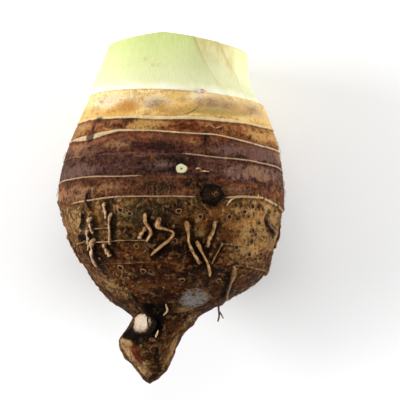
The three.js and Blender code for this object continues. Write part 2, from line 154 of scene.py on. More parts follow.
# Past a sheath's margins the stalk under it swells out to the bundle's outline at its foot:
# degrees past the margin, and heights, between which it does.
FOOT = {"past": (8, 16), "heights": (143, 152)}
STALK_RADIUS = 38
EDGE_WIDTH = 1.7
RIM_WIDTH = 1.5
CUT = {"ridge": -4, "height": 171.1, "left_slope": 0.085, "right_slope": -0.15}

LIE_ANGLE = -98
PLACE = np.array([0.2, -87.1, 65.6])
MM = 0.001

# ---- sizes of the looks

# The skin's grid: columns round it, and rows by growth level, in mm. Its tip closes to a point,
# and its top ends in a shelf that reaches in to a share of its radius.
COLUMNS = 400
TAIL_ROW = 0.8
BODY_ROW = 1.1
TIP_LEVEL = 0.3
TIP_CLOSES = 2.4
SHELF_SHARE = 0.93
# Rows beside each leaf scar.
RING_ROWS = [-1.6, -1.2, -0.9, -0.65, -0.45, -0.25, 0, 0.25, 0.45, 0.7, 1.1, 1.6]

# How far each leaf scar strays from its plane, by angle: rings not named here only ripple.
RING_STRAY = {
    118.2: ([-155, -139, -120, -95, -69, -34, -13, 60], [-1.2, -1.6, 1, 0.3, 0.3, -2, -0.7, 0]),
    87.0: ([-151, -102, -80, -62, -50, -38, -29, -13, 60], [-0.8, 0.2, -0.3, 0, 1.3, 2.4, 1, -0.5, 0]),
}
# How plainly each leaf scar shows, and how wide its pale line is in mm, by angle.
RING_SHOW = {
    39.0: ([-150, -100, 0, 120], [0.25, 0.35, 0.2, 0.3]),
    56.0: ([-160, -125, -97, -90, -70, -64, -30, 60], [0.35, 0.6, 0.55, 0.05, 0.1, 0.55, 0.7, 0.5]),
    66.6: ([-170, -140, -104, -98, -66, -60, -48, -42, 60], [0.7, 0.9, 0.7, 0.0, 0.1, 0.7, 0.6, 0.2, 0.5]),
    73.6: ([-150, -134, -125, -119, -62, -58, -34, -28, 60], [0.1, 0.8, 0.7, 0.05, 0.1, 0.6, 0.7, 0.2, 0.4]),
    87.0: ([-165, -155, -148, -79, -74, -64, -60, -15, 60], [0.35, 0.4, 0.9, 0.85, 0.0, 0.0, 1, 1, 0.7]),
    97.2: ([-170, -112, -100, -92, -70, -62, -40, 60], [1, 0.9, 0.4, 0.1, 0.1, 0.45, 0.5, 0.8]),
    108.0: ([-165, -150, -108, -102, -88, -82, -10, 60], [0.6, 0.55, 0.5, 0.15, 0.15, 0.8, 1, 0.8]),
    118.2: ([-170, -100, -13, 60], [1, 1, 1, 0.8]),
    128.4: ([-170, -13, 60], [1, 1, 0.9]),
}
RING_WIDTH = {
    87.0: ([-160, -140, -90, -62, -56, -30, 60], [0.1, 0.2, 0.15, 0.15, 0.45, 0.4, 0.2]),
    108.0: ([-165, -100, -60, -10, 60], [0.2, 0.08, 0.16, 0.28, 0.2]),
    118.2: ([-158, -150, -133, -124, -110, -60, 60], [0.35, 1.0, 1.1, 0.6, 0.25, 0.2, 0.3]),
    128.4: ([-140, -112, -100, -55, -45, 60], [0.35, 0.5, 0.8, 0.6, 0.4, 0.3]),
}
RING_WIDTH_USUAL = 0.12

# Patches of colour on the corm: angle, height, half its breadth in degrees, half its height
# in mm, and strength. Each list belongs to one tint of SkinGraph.
PATCHES = {
    "gold": [
        (-42, 79, 20, 8, 0.9), (-30, 66, 16, 7, 0.7), (-60, 122.5, 8, 2.4, 0.4), (-30, 123, 22, 4.4, 0.6),
        (-25, 93, 16, 3.5, 0.4), (-112, 91.5, 12, 3.5, 0.35), (-77, 114.9, 6, 1.6, 0.7),
        (-24, 23, 18, 7, 0.35), (-120, 79, 6, 2, 0.45),
    ],
    "tan": [
        (-160, 124, 20, 4.8, 0.9), (-150, 79, 16, 8, 0.9), (-152, 51, 18, 4.6, 1.0), (-168, 93, 16, 5, 0.6),
        (-152, 113, 15, 4.2, 0.9), (-118, 113.6, 16, 3, 0.8), (-14, 68, 16, 9, 0.9), (-105, 60, 18, 3, 0.3),
        (-130, 44, 14, 5, 0.4), (-128, 71, 5, 2.4, 1.0), (-45, 60, 17, 7, 1.0), (-50, 73.5, 14, 1.6, 0.6),
        (-10, 101, 12, 5, 0.5), (-54, 34, 18, 1.4, 0.9), (-146, 46, 16, 5, 0.8), (-130, 92.5, 20, 4, 1.0),
        (-44, 101, 22, 4.6, 0.8), (-8, 112, 12, 5, 0.7),
    ],
    "red": [
        (-84, 123.3, 11, 3.0, 1.1), (-62, 122.7, 14, 3.2, 0.8), (-20, 90.5, 9, 2.2, 0.9),
        (-86, 62, 18, 5, 0.6), (-96, 47, 30, 7, 0.8), (-118, 92, 26, 3.8, 0.5), (-55, 103, 18, 4, 0.4),
    ],
    "purple": [
        (-122, 125.4, 14, 2.8, 1.3), (-98, 112.8, 22, 3.2, 0.9), (-60, 114.5, 18, 4, 0.7),
        (-30, 111.5, 20, 4.4, 0.7), (-138, 103.5, 28, 5, 1.0), (-138, 93, 20, 4, 0.4),
        (-135, 114.5, 10, 4, 0.5),
    ],
    "black": [
        (-72, 117, 3.2, 4.8, 0.9), (-87, 104.6, 15, 4.2, 0.7), (-104, 78.3, 15, 8, 0.9),
        (-92, 106.5, 26, 2, 0.7), (-86, 73, 12, 7, 0.9), (-151, 69.3, 8, 3.6, 1.1),
        (-83, 63.5, 20, 4.6, 0.8), (-77, 93.5, 9, 5, 0.8), (-62, 70, 6, 6, 1.0), (-142, 108.6, 3, 1.6, 1.0),
        (-131, 71, 9, 4, 0.6), (-70, 88.4, 10, 8, 1.1), (-77, 96, 14, 2, 0.9), (-108, 70, 16, 3, 0.8),
        (-91, 82.5, 16, 4.4, 1.0), (-95, 93, 12, 4.6, 0.8), (-142, 62, 14, 6, 0.9), (-80, 51, 12, 4, 0.8),
        (-79, 82, 7, 3.4, 0.6),
    ],
    "rot": [
        (-99, 30, 13, 7.5, 1.5), (-112, 22.6, 16, 4, 1.6), (-146, 25.6, 14, 3.2, 1.6),
        (-112, 36, 11, 3.6, 1.2), (-85, 25, 11, 5.5, 1.2), (-94, 37, 10, 3.6, 0.9),
        (-128, 24.4, 18, 3, 1.5), (-104, 24, 18, 4, 1.4), (-108, 30, 10, 8, 1.2), (-90, 24.6, 20, 4.6, 1.4),
        (-70, 14, 14, 6, 0.6), (-62, 8, 14, 4, 0.6), (-150, 70.8, 5, 2.6, 1.2), (-115, 73.2, 4, 1.3, 1.0),
    ],
    "rust": [
        (-68, 78, 16, 7, 0.9), (-58, 70, 14, 6, 0.7), (-92, 48, 18, 4, 0.6), (-82, 80.5, 9, 4, 0.6),
        (-126, 84, 6, 2.4, 0.7), (-96, 70, 6, 3, 0.5), (-110, 47, 15, 4.4, 0.8),
    ],
    "caramel": [
        (-104.5, 123.9, 11, 3.4, 1.4), (-12, 122, 16, 4.6, 1.0), (-34, 120.5, 12, 3.4, 1.2),
    ],
    "honey": [
        (-147, 132.6, 13, 4, 0.7), (-133, 137, 6, 3, 0.6), (-89, 138, 11, 3, 0.9), (-105, 138.8, 8, 2, 0.5),
        (-84, 133, 9, 3, 0.6), (-48, 133, 16, 3, 0.4), (-125, 130.2, 16, 2, 0.8), (-166, 134, 12, 5, 0.5),
    ],
    "cream": [
        (-103, 135.4, 11, 4.4, 0.8), (-75, 137.4, 8, 3, 0.7), (-60, 138.6, 14, 2, 0.4),
        (-138, 137.4, 18, 4, 1.1), (-116, 138.2, 12, 2.6, 0.7), (-52, 136.6, 5, 2, 0.7),
        (-36, 137, 16, 2.4, 0.4),
    ],
    "mauve": [
        (-100, 133.6, 8, 3.2, 0.7), (-68, 134.2, 12, 3.6, 0.8), (-55, 133.8, 10, 3.4, 0.8),
        (-95, 131, 8, 2, 0.5), (-84, 136, 6, 2.4, 0.4), (-34, 134, 16, 3.4, 0.5),
        (-118, 136.6, 7, 1.6, 0.5),
    ],
    "dun": [
        (-62, 134.6, 17, 4.6, 1.1), (-36, 133.6, 22, 5, 1.1), (-100, 134.6, 12, 4, 0.7),
        (-8, 133, 12, 5, 0.7),
    ],
    "amber": [
        (-119, 133.3, 10, 3.8, 1.0), (-129, 131.2, 10, 2.8, 0.6), (-78, 132.4, 8, 2.4, 0.5),
        (-44, 132, 10, 2, 0.5),
    ],
    "olive": [
        (-65, 130.5, 26, 1.8, 1.2), (-88, 129.6, 8, 1.2, 0.8),
    ],
    "dusk": [
        (-148, 102.6, 24, 4.8, 0.8), (-30, 111.6, 20, 4.8, 1.3), (-56, 112, 13, 4, 0.95),
        (-30, 102, 22, 4, 0.7), (-52, 101, 12, 4.2, 1.0), (-95, 103.2, 9, 3, 0.7),
        (-118, 103.2, 9, 4, 0.35),
    ],
    "fawn": [
        (-146, 113.4, 17, 4.2, 1.0), (-119, 115.2, 12, 3, 0.6), (-146, 92, 17, 4.2, 1.0),
        (-119, 92.6, 12, 3.4, 0.6), (-150, 50, 14, 4, 0.5), (-152, 78, 12, 6, 0.5), (-54, 92.2, 10, 3, 0.8),
    ],
    "ochre": [
        (-26, 81, 14, 8, 1.35), (-51, 82.4, 9, 3.6, 1.0), (-38, 72, 14, 6, 1.0), (-120, 82, 9, 3, 0.5),
        (-29, 17, 12, 8, 1.1), (-34, 32, 16, 4, 0.7), (-64, 36.2, 17, 1.6, 1.1), (-134, 44, 10, 3.4, 0.6),
        (-12, 74, 10, 8, 0.7), (-146, 48, 12, 3.4, 1.0), (-149, 79.5, 12, 5, 0.8), (-44, 65, 14, 5, 0.9),
    ],
    "moss": [
        (-110, 80, 22, 6.5, 0.9), (-150, 84, 12, 4, 0.8), (-122, 84, 10, 2.4, 0.7), (-14, 82, 14, 7, 0.6),
    ],
    "pale": [
        (-68, 41.9, 10, 4.6, 1.5), (-52, 39.9, 12, 3.3, 1.4), (-60, 41, 10, 4.2, 1.5),
    ],
    "cut": [
        (-138, 15.4, 22, 6.4, 1.5), (-152, 19, 12, 4, 1.2), (-112, 5.6, 26, 3.8, 1.3),
        (-126, 11, 18, 5.4, 1.4), (-110, 9, 10, 3.6, 1.1),
    ],
    "wine": [
        (-121, 16.4, 9, 3.2, 1.5), (-114.5, 12.8, 9, 3, 1.4), (-30, 43.4, 6, 1.6, 1.0),
    ],
    "bruise": [
        (-137.5, 127.6, 4.4, 1.8, 1.1), (-140, 124.4, 2.4, 2.6, 0.9), (-139.9, 119.6, 3.6, 3.2, 1.4),
    ],
}

# A patch fades out at this many times its half size.
PATCH_REACH = 1.3

# Fine hairs on the skin: how many, where, how long, and how far they turn from the axis.
HAIRS = [
    {"name": "pale_hairs", "count": 110, "angle": (-116, -74), "height": (87, 99), "length": (2, 6),
     "turn": 70, "radius": 0.06},
    {"name": "pale_hairs", "count": 60, "angle": (-78, -60), "height": (82, 96), "length": (1.5, 4),
     "turn": 100, "radius": 0.06},
    {"name": "pale_hairs", "count": 200, "angle": (-180, 180), "height": (44, 116), "length": (1.5, 5),
     "turn": 40, "radius": 0.06},
    {"name": "dark_hairs", "count": 300, "angle": (-180, 180), "height": (42, 124), "length": (1.5, 6),
     "turn": 30, "radius": 0.1},
]

# Thin streaks: width in mm, and the route by angle and height.
FLECKS = {
    "pale_flecks": [
        (0.8, [(-77.2, 101.4), (-76, 101.9), (-74.6, 101.2)]),
        (0.6, [(-75, 100.4), (-73, 100.5), (-70.4, 100.3)]),
        (1.1, [(-60.8, 84.4), (-59.8, 86.2), (-57, 88.3)]),
        (0.8, [(-41.6, 91), (-40.4, 89)]),
        (0.4, [(-72.1, 122.3), (-69.2, 123.7), (-66.4, 122), (-62, 123.3)]),
        (0.6, [(-28, 80.6), (-30, 77.4)]),
    ],
    "dark_flecks": [
        (0.35, [(-96, 86.4), (-94, 84), (-93.6, 81.6), (-95, 79.1)]),
        (0.45, [(-112, 79.4), (-110.4, 78), (-113, 75.6)]),
        (0.34, [(-84.4, 128.4), (-81, 129.3), (-78, 130.6), (-75.6, 132.2)]),
    ],
}
SLIVERS = [(1.0, [(-91, 38.6), (-89, 36), (-93.5, 33.6)]), (0.9, [(-83.4, 26.2), (-80, 22.8)])]
STREAK_POINTS = 14
HAIR_POINTS = 7
# Crusts of bark: how many, where, how large and how steep, and some with places of their own.
FLAKES = {"count": 260, "height": (40, 90), "radius": (0.5, 1.5), "lift": (6, 28)}
FLAKES_PLACED = [
    (-3, 59, 3.2), (-8, 57.2, 2.6), (-1, 62, 2.2), (2, 55.6, 2.2), (-5, 70.5, 1.8), (-2, 66, 2.0),
    (-176, 90, 1.6), (-172, 87, 1.7), (-178, 84, 1.5), (-176, 60, 1.6), (-178, 53, 1.8), (-172, 50, 1.8),
    (-148, 52.6, 1.8), (-145, 50.4, 1.6), (-8, 49.5, 1.8), (-4, 46, 1.7), (2, 42.6, 1.5),
    (-16, 49.4, 1.7), (-15, 45.2, 1.5), (0, 47.8, 2.4), (-3, 43.8, 2.3), (1, 40.4, 2.1), (-13, 56.5, 1.8),
]

# Root scars all round, smaller than the others.
SMALL_SCARS = {"count": 48, "height": (44, 86), "scale": (0.4, 0.75)}

# The painted shadow beside the rootlets: how far it reaches for each mm of their width, how far
# it lies to their right, and one degree of the skin in mm.
SHADOW_REACH = 1.25
SHADOW_SHIFT = 1.2
SKIN_DEGREE = 0.88
# The skin's usual radius, by which hairs turn mm into angles.
SKIN_RADIUS = 50
# Points along a rootlet, how thin its dry husk is against part.mjs's, and what its radius is
# multiplied by at its last two points.
ROOTLET_POINTS = 40
ROOTLET_HUSK = 0.95
ROOTLET_END = (0.9, 0.55)
# The curled scar on the tail, and the pink bud tip at the stalks' foot, in mm.
TAIL_SCAR = {"spot": (-76, 17), "across": 2.3, "up": 2.0}
BUD_TIP = {"spot": (-72, 140.2), "width": 5.2, "arch": 1.1, "sunk": 0.6}

# Hollows pressed into the skin: angle, height, width and depth in mm.
HOLLOWS = [
    (-151, 69.3, 2.6, 1.3), (-99, 29, 4, 2.0), (-88, 26, 3, 1.2), (-62, 70, 2, 0.6),
    (-116, 22, 3.2, 1.6), (-143, 25.4, 2.6, 1.3), (-45, 40, 3, 0.6), (-108, 36.5, 3, 1.2),
]

# Stains on the leaf stalks: middle and half their size, by angle and height, and strength.
BRUISES = [((-112, 157.5), (3, 1.2), 1.0), ((-104, 154.2), (6, 1.0), 0.8)]
ASHEN = ((-72, 155), (14, 6), 0.4)
# The dry membrane at the front of the stalks: where it starts and ends, by angle, and the
# heights between which it comes in, higher up towards the right.
MEMBRANE = {"left": (-80, -74), "right": (-34, -46), "height": (152, 163), "slope": 0.35, "turned": 60}
# The shares of a stalk's height between which its side goes over into the cut face.
CUT_SHARE = (0.985, 0.999)
# Points round a stalk, up it, through a sheath, and rings across the inner stalk's cut.
STALK_GRID = {"around": 220, "up": 56, "through": 8, "rings": 16}

# The side that lies on top, and the way the corm grows.
TOP_SIDE = np.array([0.0, -1.0, 0.0])
UPWARD = np.array([0.0, 0.0, 1.0])

SEED = 586
SIDE_SEED = 40

# ---- numbers and noise


def along(rows, column, x):
    """A smooth curve through rows of (x, value, ...), read in one column."""
    places = rows[:, 0]
    values = rows[:, column]
    before = np.maximum(np.arange(len(rows)) - 1, 0)
    after = np.minimum(np.arange(len(rows)) + 1, len(rows) - 1)
    slopes = (values[after] - values[before]) / (places[after] - places[before])
    i = np.clip(np.searchsorted(places, x, side="left") - 1, 0, len(rows) - 2)
    width = places[i + 1] - places[i]
    t = (x - places[i]) / width
    start = (2 * t**3 - 3 * t**2 + 1) * values[i]
    end = (3 * t**2 - 2 * t**3) * values[i + 1]
    bend = (t**3 - 2 * t**2 + t) * slopes[i] + (t**3 - t**2) * slopes[i + 1]
    return start + end + bend * width


def by_angle(table, degrees):
    """A value that changes round the corm, from angles and values in order."""
    return np.interp(degrees, table[0], table[1], period=360)


def between(start, end, share):
    """The value that is a share of the way from start to end."""
    return start + (end - start) * share


def smooth(low, high, x):
    """Goes from 0 to 1 as x goes from low to high."""
    t = np.clip((x - low) / (high - low), 0, 1)
    return t * t * (3 - 2 * t)


def lattice(i, j, k, seed):
    """A repeatable value from -1 to 1 at each whole-number point."""
    mixed = i * 374761393 + j * 668265263 + k * 1274126177 + seed * 974634777
    mixed = (mixed ^ (mixed >> 13)) * 1103515245
    mixed = (mixed ^ (mixed >> 16)) & 0xFFFFFF
    return mixed / 0x7FFFFF - 1


def noise(points, size, seed=0):
    """Smooth value noise from -1 to 1, with lumps of about the given size in mm."""
    scaled = np.asarray(points, float) / size
    cell = np.floor(scaled).astype(np.int64)
    part = scaled - cell
    part = part * part * (3 - 2 * part)
    total = 0
    for corner in range(8):
        step = np.array([corner & 1, corner >> 1 & 1, corner >> 2 & 1])
        weight = np.prod(np.where(step == 1, part, 1 - part), axis=-1)
        at = cell + step
        total = total + weight * lattice(at[..., 0], at[..., 1], at[..., 2], seed)
    return total


def layered(points, size, layers, seed=0):
    """Noise with ever finer and fainter layers."""
    total = 0
    for layer in range(layers):
        total = total + noise(points, size / 2**layer, seed + layer) / 2**layer
    return total / 1.6


def scatter(n):
    """The repeatable number from 0 to 1 that part.mjs uses for each whole n."""
    wave = math.sin(n * 12.9898) * 43758.5453
    return wave - math.floor(wave)


def lay_down(points):
    """Growth frame in mm to the CAD frame in metres."""
    turn = math.radians(LIE_ANGLE)
    p = np.asarray(points, float)
    y = p[..., 1] * math.cos(turn) - p[..., 2] * math.sin(turn)
    z = p[..., 1] * math.sin(turn) + p[..., 2] * math.cos(turn)
    return (np.stack([p[..., 0], y, z], -1) + PLACE) * MM


def on_ground(points):
    """lay_down(), with what would sink into the surface pressed flat on it."""
    placed = lay_down(points)
    placed[..., 2] = np.maximum(placed[..., 2], 0)
    return placed


def lay_down_direction(vector):
    """A direction of the growth frame in the CAD frame."""
    return lay_down(np.asarray(vector, float) / MM) - lay_down(np.zeros(3))


# ---- the skin of the corm


def swell(angle, height):
    """How far the corm bulges out of its outline, in mm."""
    fade = np.interp(height, SWELL_HEIGHTS, [0, 1, 1, 0])
    broad = np.sin(2 * angle + 1.3) * np.sin(height / 14 + 0.4)
    narrow = 0.6 * np.sin(5 * angle + 2.1) * np.sin(height / 9 + 1)
    return SWELL * fade * (broad + narrow)


def stray(degrees, ring, k):
    """How far a ring strays up or down from its plane."""
    angle = np.radians(degrees)
    ripple = 0.22 * np.sin(5 * angle + 1.7 * k) + 0.16 * np.sin(11 * angle + 2.9 * k)
    if ring in RING_STRAY:
        ripple = ripple + by_angle(RING_STRAY[ring], degrees)
    return ripple


def skin(outline, angle, height, lift=0.0):
    """Points of a smooth outline turned round its axis, lifted off by so many mm."""
    left = along(outline, 1, height)
    right = along(outline, 2, height)
    half = (right - left) / 2
    x = (left + right) / 2 + (half + lift) * np.cos(angle)
    y = (half * DEPTH_RATIO + lift) * np.sin(angle)
    return np.stack([x, y, height + 0 * angle], -1)


def growth_height(degrees, level):
    """Height of the growth line of that level at an angle: it leans and strays with its ring."""
    angle = np.radians(degrees)
    total = level * 1.0
    below = np.clip(level / RINGS[0, 0], 0, 1)
    for k, (ring, lean_x, lean_y) in enumerate(RINGS):
        share = np.interp(level, RINGS[:, 0], np.arange(len(RINGS)) == k) * below
        total = total + share * (lean_x * np.cos(angle) + lean_y * np.sin(angle))
        if ring != RINGS[-1, 0]:
            total = total + share * stray(degrees, ring, k)
    return total


def growth_level(degrees, height):
    """The level whose growth line passes through a height."""
    level = height * 1.0
    for _ in range(6):
        level = level + height - growth_height(degrees, level)
    return level


def tail_plane():
    """The knife cut on the tail: a point and the outward direction."""
    point = skin(CORM_OUTLINE, math.radians(TAIL_CUT["angle"]), TAIL_CUT["height"], -TAIL_CUT["depth"])
    turn = math.radians(TAIL_CUT["angle"])
    slope = math.radians(TAIL_CUT["slope"])
    level = math.cos(slope)
    return point, np.array([level * math.cos(turn), level * math.sin(turn), math.sin(slope)])


def ring_shape(degrees, level):
    """Leaf scars: their pale line, the groove below (darkened by painted shade in the skin's material), how
    plain and how wide they are.
    """
    line = groove = shown = wide = 0 * level
    for ring, _, _ in RINGS[:-1]:
        show = by_angle(RING_SHOW[ring], degrees)
        width = RING_WIDTH_USUAL + 0 * level
        if ring in RING_WIDTH:
            width = by_angle(RING_WIDTH[ring], degrees)
        off = level - ring
        near = np.abs(off) < 3
        line = np.maximum(line, show * (1 - smooth(width, width + 0.35, np.abs(off))))
        groove = np.maximum(groove, show * np.exp(-(((off + width + 0.75) / 0.5) ** 2)))
        shown = np.where(near, show, shown)
        wide = np.where(near, smooth(0.2, 0.8, width), wide)
    return line, groove, shown, wide


def relief(degrees, level, base):
    """How far the skin stands out from its smooth outline, in mm."""
    line, groove, _, _ = ring_shape(degrees, level)
    streak = noise(base * [1, 1, 0.2], 1.5, 3)
    rough = 0.35 + 0.65 * smooth(92, 62, level) + 0.6 * smooth(45, 36, level)
    rough = rough * smooth(141, 137, level)
    coarse = layered(base, 7, 3, 11)
    fine = layered(base, 2.2, 2, 21)
    pulled = 0.35 * line - 0.35 * groove
    lumps = 0.42 * coarse * rough + 0.2 * fine * rough + 0.08 * streak
    tail = smooth(38, 30, level) * (0.7 * layered(base, 5, 3, 31))
    return pulled + lumps + tail


def dimples(points):
    """Hollows and rims that single features press into the skin near them."""
    total = 0 * points[..., 0]
    moat = np.linalg.norm(points - smooth_place(*BUD["spot"]), axis=-1)
    total = total - 0.9 * np.exp(-(((moat - BUD["radius"] - 0.5) / 1.1) ** 2))
    for angle, height, width, depth in HOLLOWS:
        off = np.linalg.norm(points - smooth_place(angle, height), axis=-1)
        total = total - depth * np.exp(-((off / width) ** 2))
    return total


def smooth_place(degrees, height):
    """A place on the corm's smooth outline."""
    return skin(CORM_OUTLINE, math.radians(degrees), np.float64(height))


def corm_points(degrees, level):
    """Points of the finished skin for grids of angles and growth levels, and their base."""
    angle = np.radians(degrees)
    height = growth_height(degrees, level)
    base = skin(CORM_OUTLINE, angle, height, swell(angle, height))
    step = 0.01
    around = skin(CORM_OUTLINE, angle + step, height, swell(angle + step, height)) - base
    upward = skin(CORM_OUTLINE, angle, height + step, swell(angle, height + step)) - base
    normal = np.cross(around, upward)
    normal = normal / np.maximum(np.linalg.norm(normal, axis=-1, keepdims=True), 1e-9)
    out = relief(degrees, level, base) + dimples(base)
    points = base + normal * out[..., None]
    point, facing = tail_plane()
    beyond = np.maximum((points - point) @ facing, 0)
    beyond = beyond * smooth(34, 28, height)
    return points - beyond[..., None] * facing, base, normal


def on_skin(degrees, height):
    """Place and outward direction at one spot of the finished skin."""
    spot = np.array([float(degrees)])
    points, _, normal = corm_points(spot, growth_level(spot, np.array([float(height)])))
    return points[0], normal[0]


# ---- mesh helpers


def link(name, data):
    """An object in the scene that holds the data."""
    thing = bpy.data.objects.new(name, data)
    bpy.context.scene.collection.objects.link(thing)
    return thing


class Builder:
    """Collects vertices, faces and named values, and makes one mesh piece of them."""

    def __init__(self):
        self.points = []
        self.faces = []
        self.values = {}
        self.count = 0

    def add(self, points, faces, **values):
        """Adds a part of the piece, with its named values, each one number or one per vertex."""
        for face in faces:
            self.faces.append([int(i) + self.count for i in face])
        self.points.append(points)
        for key, value in values.items():
            spread = np.broadcast_to(np.asarray(value, float).reshape(-1), len(points))
            self.values.setdefault(key, []).append(spread)
        self.count += len(points)

    def roughen(self, size, amount, seed):
        """Shifts every vertex collected so far by noise."""
        for k, points in enumerate(self.points):
            shift = np.stack([layered(points, size, 3, seed + 10 * axis) for axis in range(3)], -1)
            self.points[k] = points + amount * shift

    def piece(self, name, material, slot="corm_skin"):
        """Makes the piece. Its material reads the place in the growth frame as "grow", and each
        named value."""
        points = np.concatenate(self.points)
        mesh = bpy.data.meshes.new(name)
        mesh.from_pydata(on_ground(points).tolist(), [], self.faces)
        grow = mesh.attributes.new("grow", "FLOAT_VECTOR", "POINT")
        grow.data.foreach_set("vector", points.astype(np.float32).ravel())
        for key, parts in self.values.items():
            layer = mesh.attributes.new(key, "FLOAT", "POINT")
            layer.data.foreach_set("value", np.concatenate(parts).astype(np.float32))
        mesh.polygons.foreach_set("use_smooth", [True] * len(mesh.polygons))
        mesh.materials.append(material)
        mesh.update()
        piece = link(name, mesh)
        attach(piece, "root")
        return piece


def with_ends(grid, start, end):
    """A grid of points or values in one list, with those of the points that close its two ends."""
    ends = np.array([start, end], float)
    return np.concatenate([grid.reshape(-1, *ends.shape[1:]), ends])


def grid_faces(rows, columns):
    """Outward quads of a grid that closes round, and a fan to the point that closes each end."""
    faces = []
    for c in range(columns):
        after = (c + 1) % columns
        for row in range(0, (rows - 1) * columns, columns):
            faces.append((row + c, row + after, row + columns + after, row + columns + c))
        last = (rows - 1) * columns
        faces.append((after, c, rows * columns))
        faces.append((last + c, last + after, rows * columns + 1))
    return faces


def route_points(corners, count):
    """Evenly spread points on a smooth curve through the corners."""
    corners = np.asarray(corners, float)
    if len(corners) < 3:
        return between(corners[0], corners[-1], np.linspace(0, 1, count)[:, None])
    rows = np.column_stack([np.arange(len(corners)), corners])
    fine = np.linspace(0, len(corners) - 1, 12 * len(corners))
    curve = np.stack([along(rows, axis + 1, fine) for axis in range(corners.shape[1])], -1)
    steps = np.linalg.norm(np.diff(curve, axis=0), axis=1)
    length = np.concatenate([[0], np.cumsum(steps)])
    at = np.linspace(0, length[-1], count)
    return np.stack([np.interp(at, length, column) for column in curve.T], -1)


def tube(builder, path, radii, outward, sides, twist=0.0, **values):
    """A closed tube along a path. Each point of it has one radius or two (across, out), and may
    have a twist. "facing" is how far a vertex looks outward."""
    tangent = np.gradient(path, axis=0)
    tangent = tangent / np.linalg.norm(tangent, axis=1, keepdims=True)
    side = np.cross(outward, tangent)
    side = side / np.maximum(np.linalg.norm(side, axis=1, keepdims=True), 1e-9)
    lift = np.cross(tangent, side)
    across = radii if radii.ndim == 1 else radii[:, 0]
    out = radii if radii.ndim == 1 else radii[:, 1]
    turn = np.arange(sides) * 2 * math.pi / sides
    count = len(path)
    twist = np.broadcast_to(twist, count)[:, None]
    side, lift = side * np.cos(twist) + lift * np.sin(twist), lift * np.cos(twist) - side * np.sin(twist)
    ring = side[:, None] * (across[:, None] * np.cos(turn))[..., None]
    ring = ring + lift[:, None] * (out[:, None] * np.sin(turn))[..., None]
    share = with_ends(np.repeat(np.linspace(0, 1, count), sides), 0, 1)
    facing = with_ends(np.sin(turn + twist), 0, 0)
    points = with_ends(path[:, None] + ring, path[0], path[-1])
    builder.add(points, grid_faces(count, sides), along=share, facing=facing, **values)


def disc(builder, spot, profile, sides, outline, lean_from=0.0):
    """A round feature from a profile of (share of the radius, height in mm), closed underneath."""
    place, side, up, out = spot
    turn = np.arange(sides) * 2 * math.pi / sides
    shares = np.array([share for share, _ in profile])
    heights = np.array([rise for _, rise in profile])
    r = shares[:, None] * outline(turn)[None]
    flat = side * (r * np.cos(turn))[..., None] + up * (r * np.sin(turn))[..., None]
    grid = place + flat + out * heights[:, None, None]
    points = with_ends(grid, place + out * heights[0], place + out * heights[-1])
    share = with_ends(np.repeat(shares / max(shares), sides), 1, 0)
    lean = with_ends(shares[:, None] * np.sin(turn + lean_from), 0, 0)
    builder.add(points, grid_faces(len(profile), sides), along=share, lean=lean)


# ---- material helpers

# How much brighter than its own colour a face towards the camera shows under the lights.
STAGE_GAIN = 1.18


def rgb(red, green, blue):
    """A screen colour as the linear one a surface needs to show it under this stage's light."""
    linear = []
    for value in (red, green, blue):
        part = value / 255
        linear.append(part / 12.92 if part <= 0.04045 else ((part + 0.055) / 1.055) ** 2.4)
    return (*(part / STAGE_GAIN for part in linear), 1)


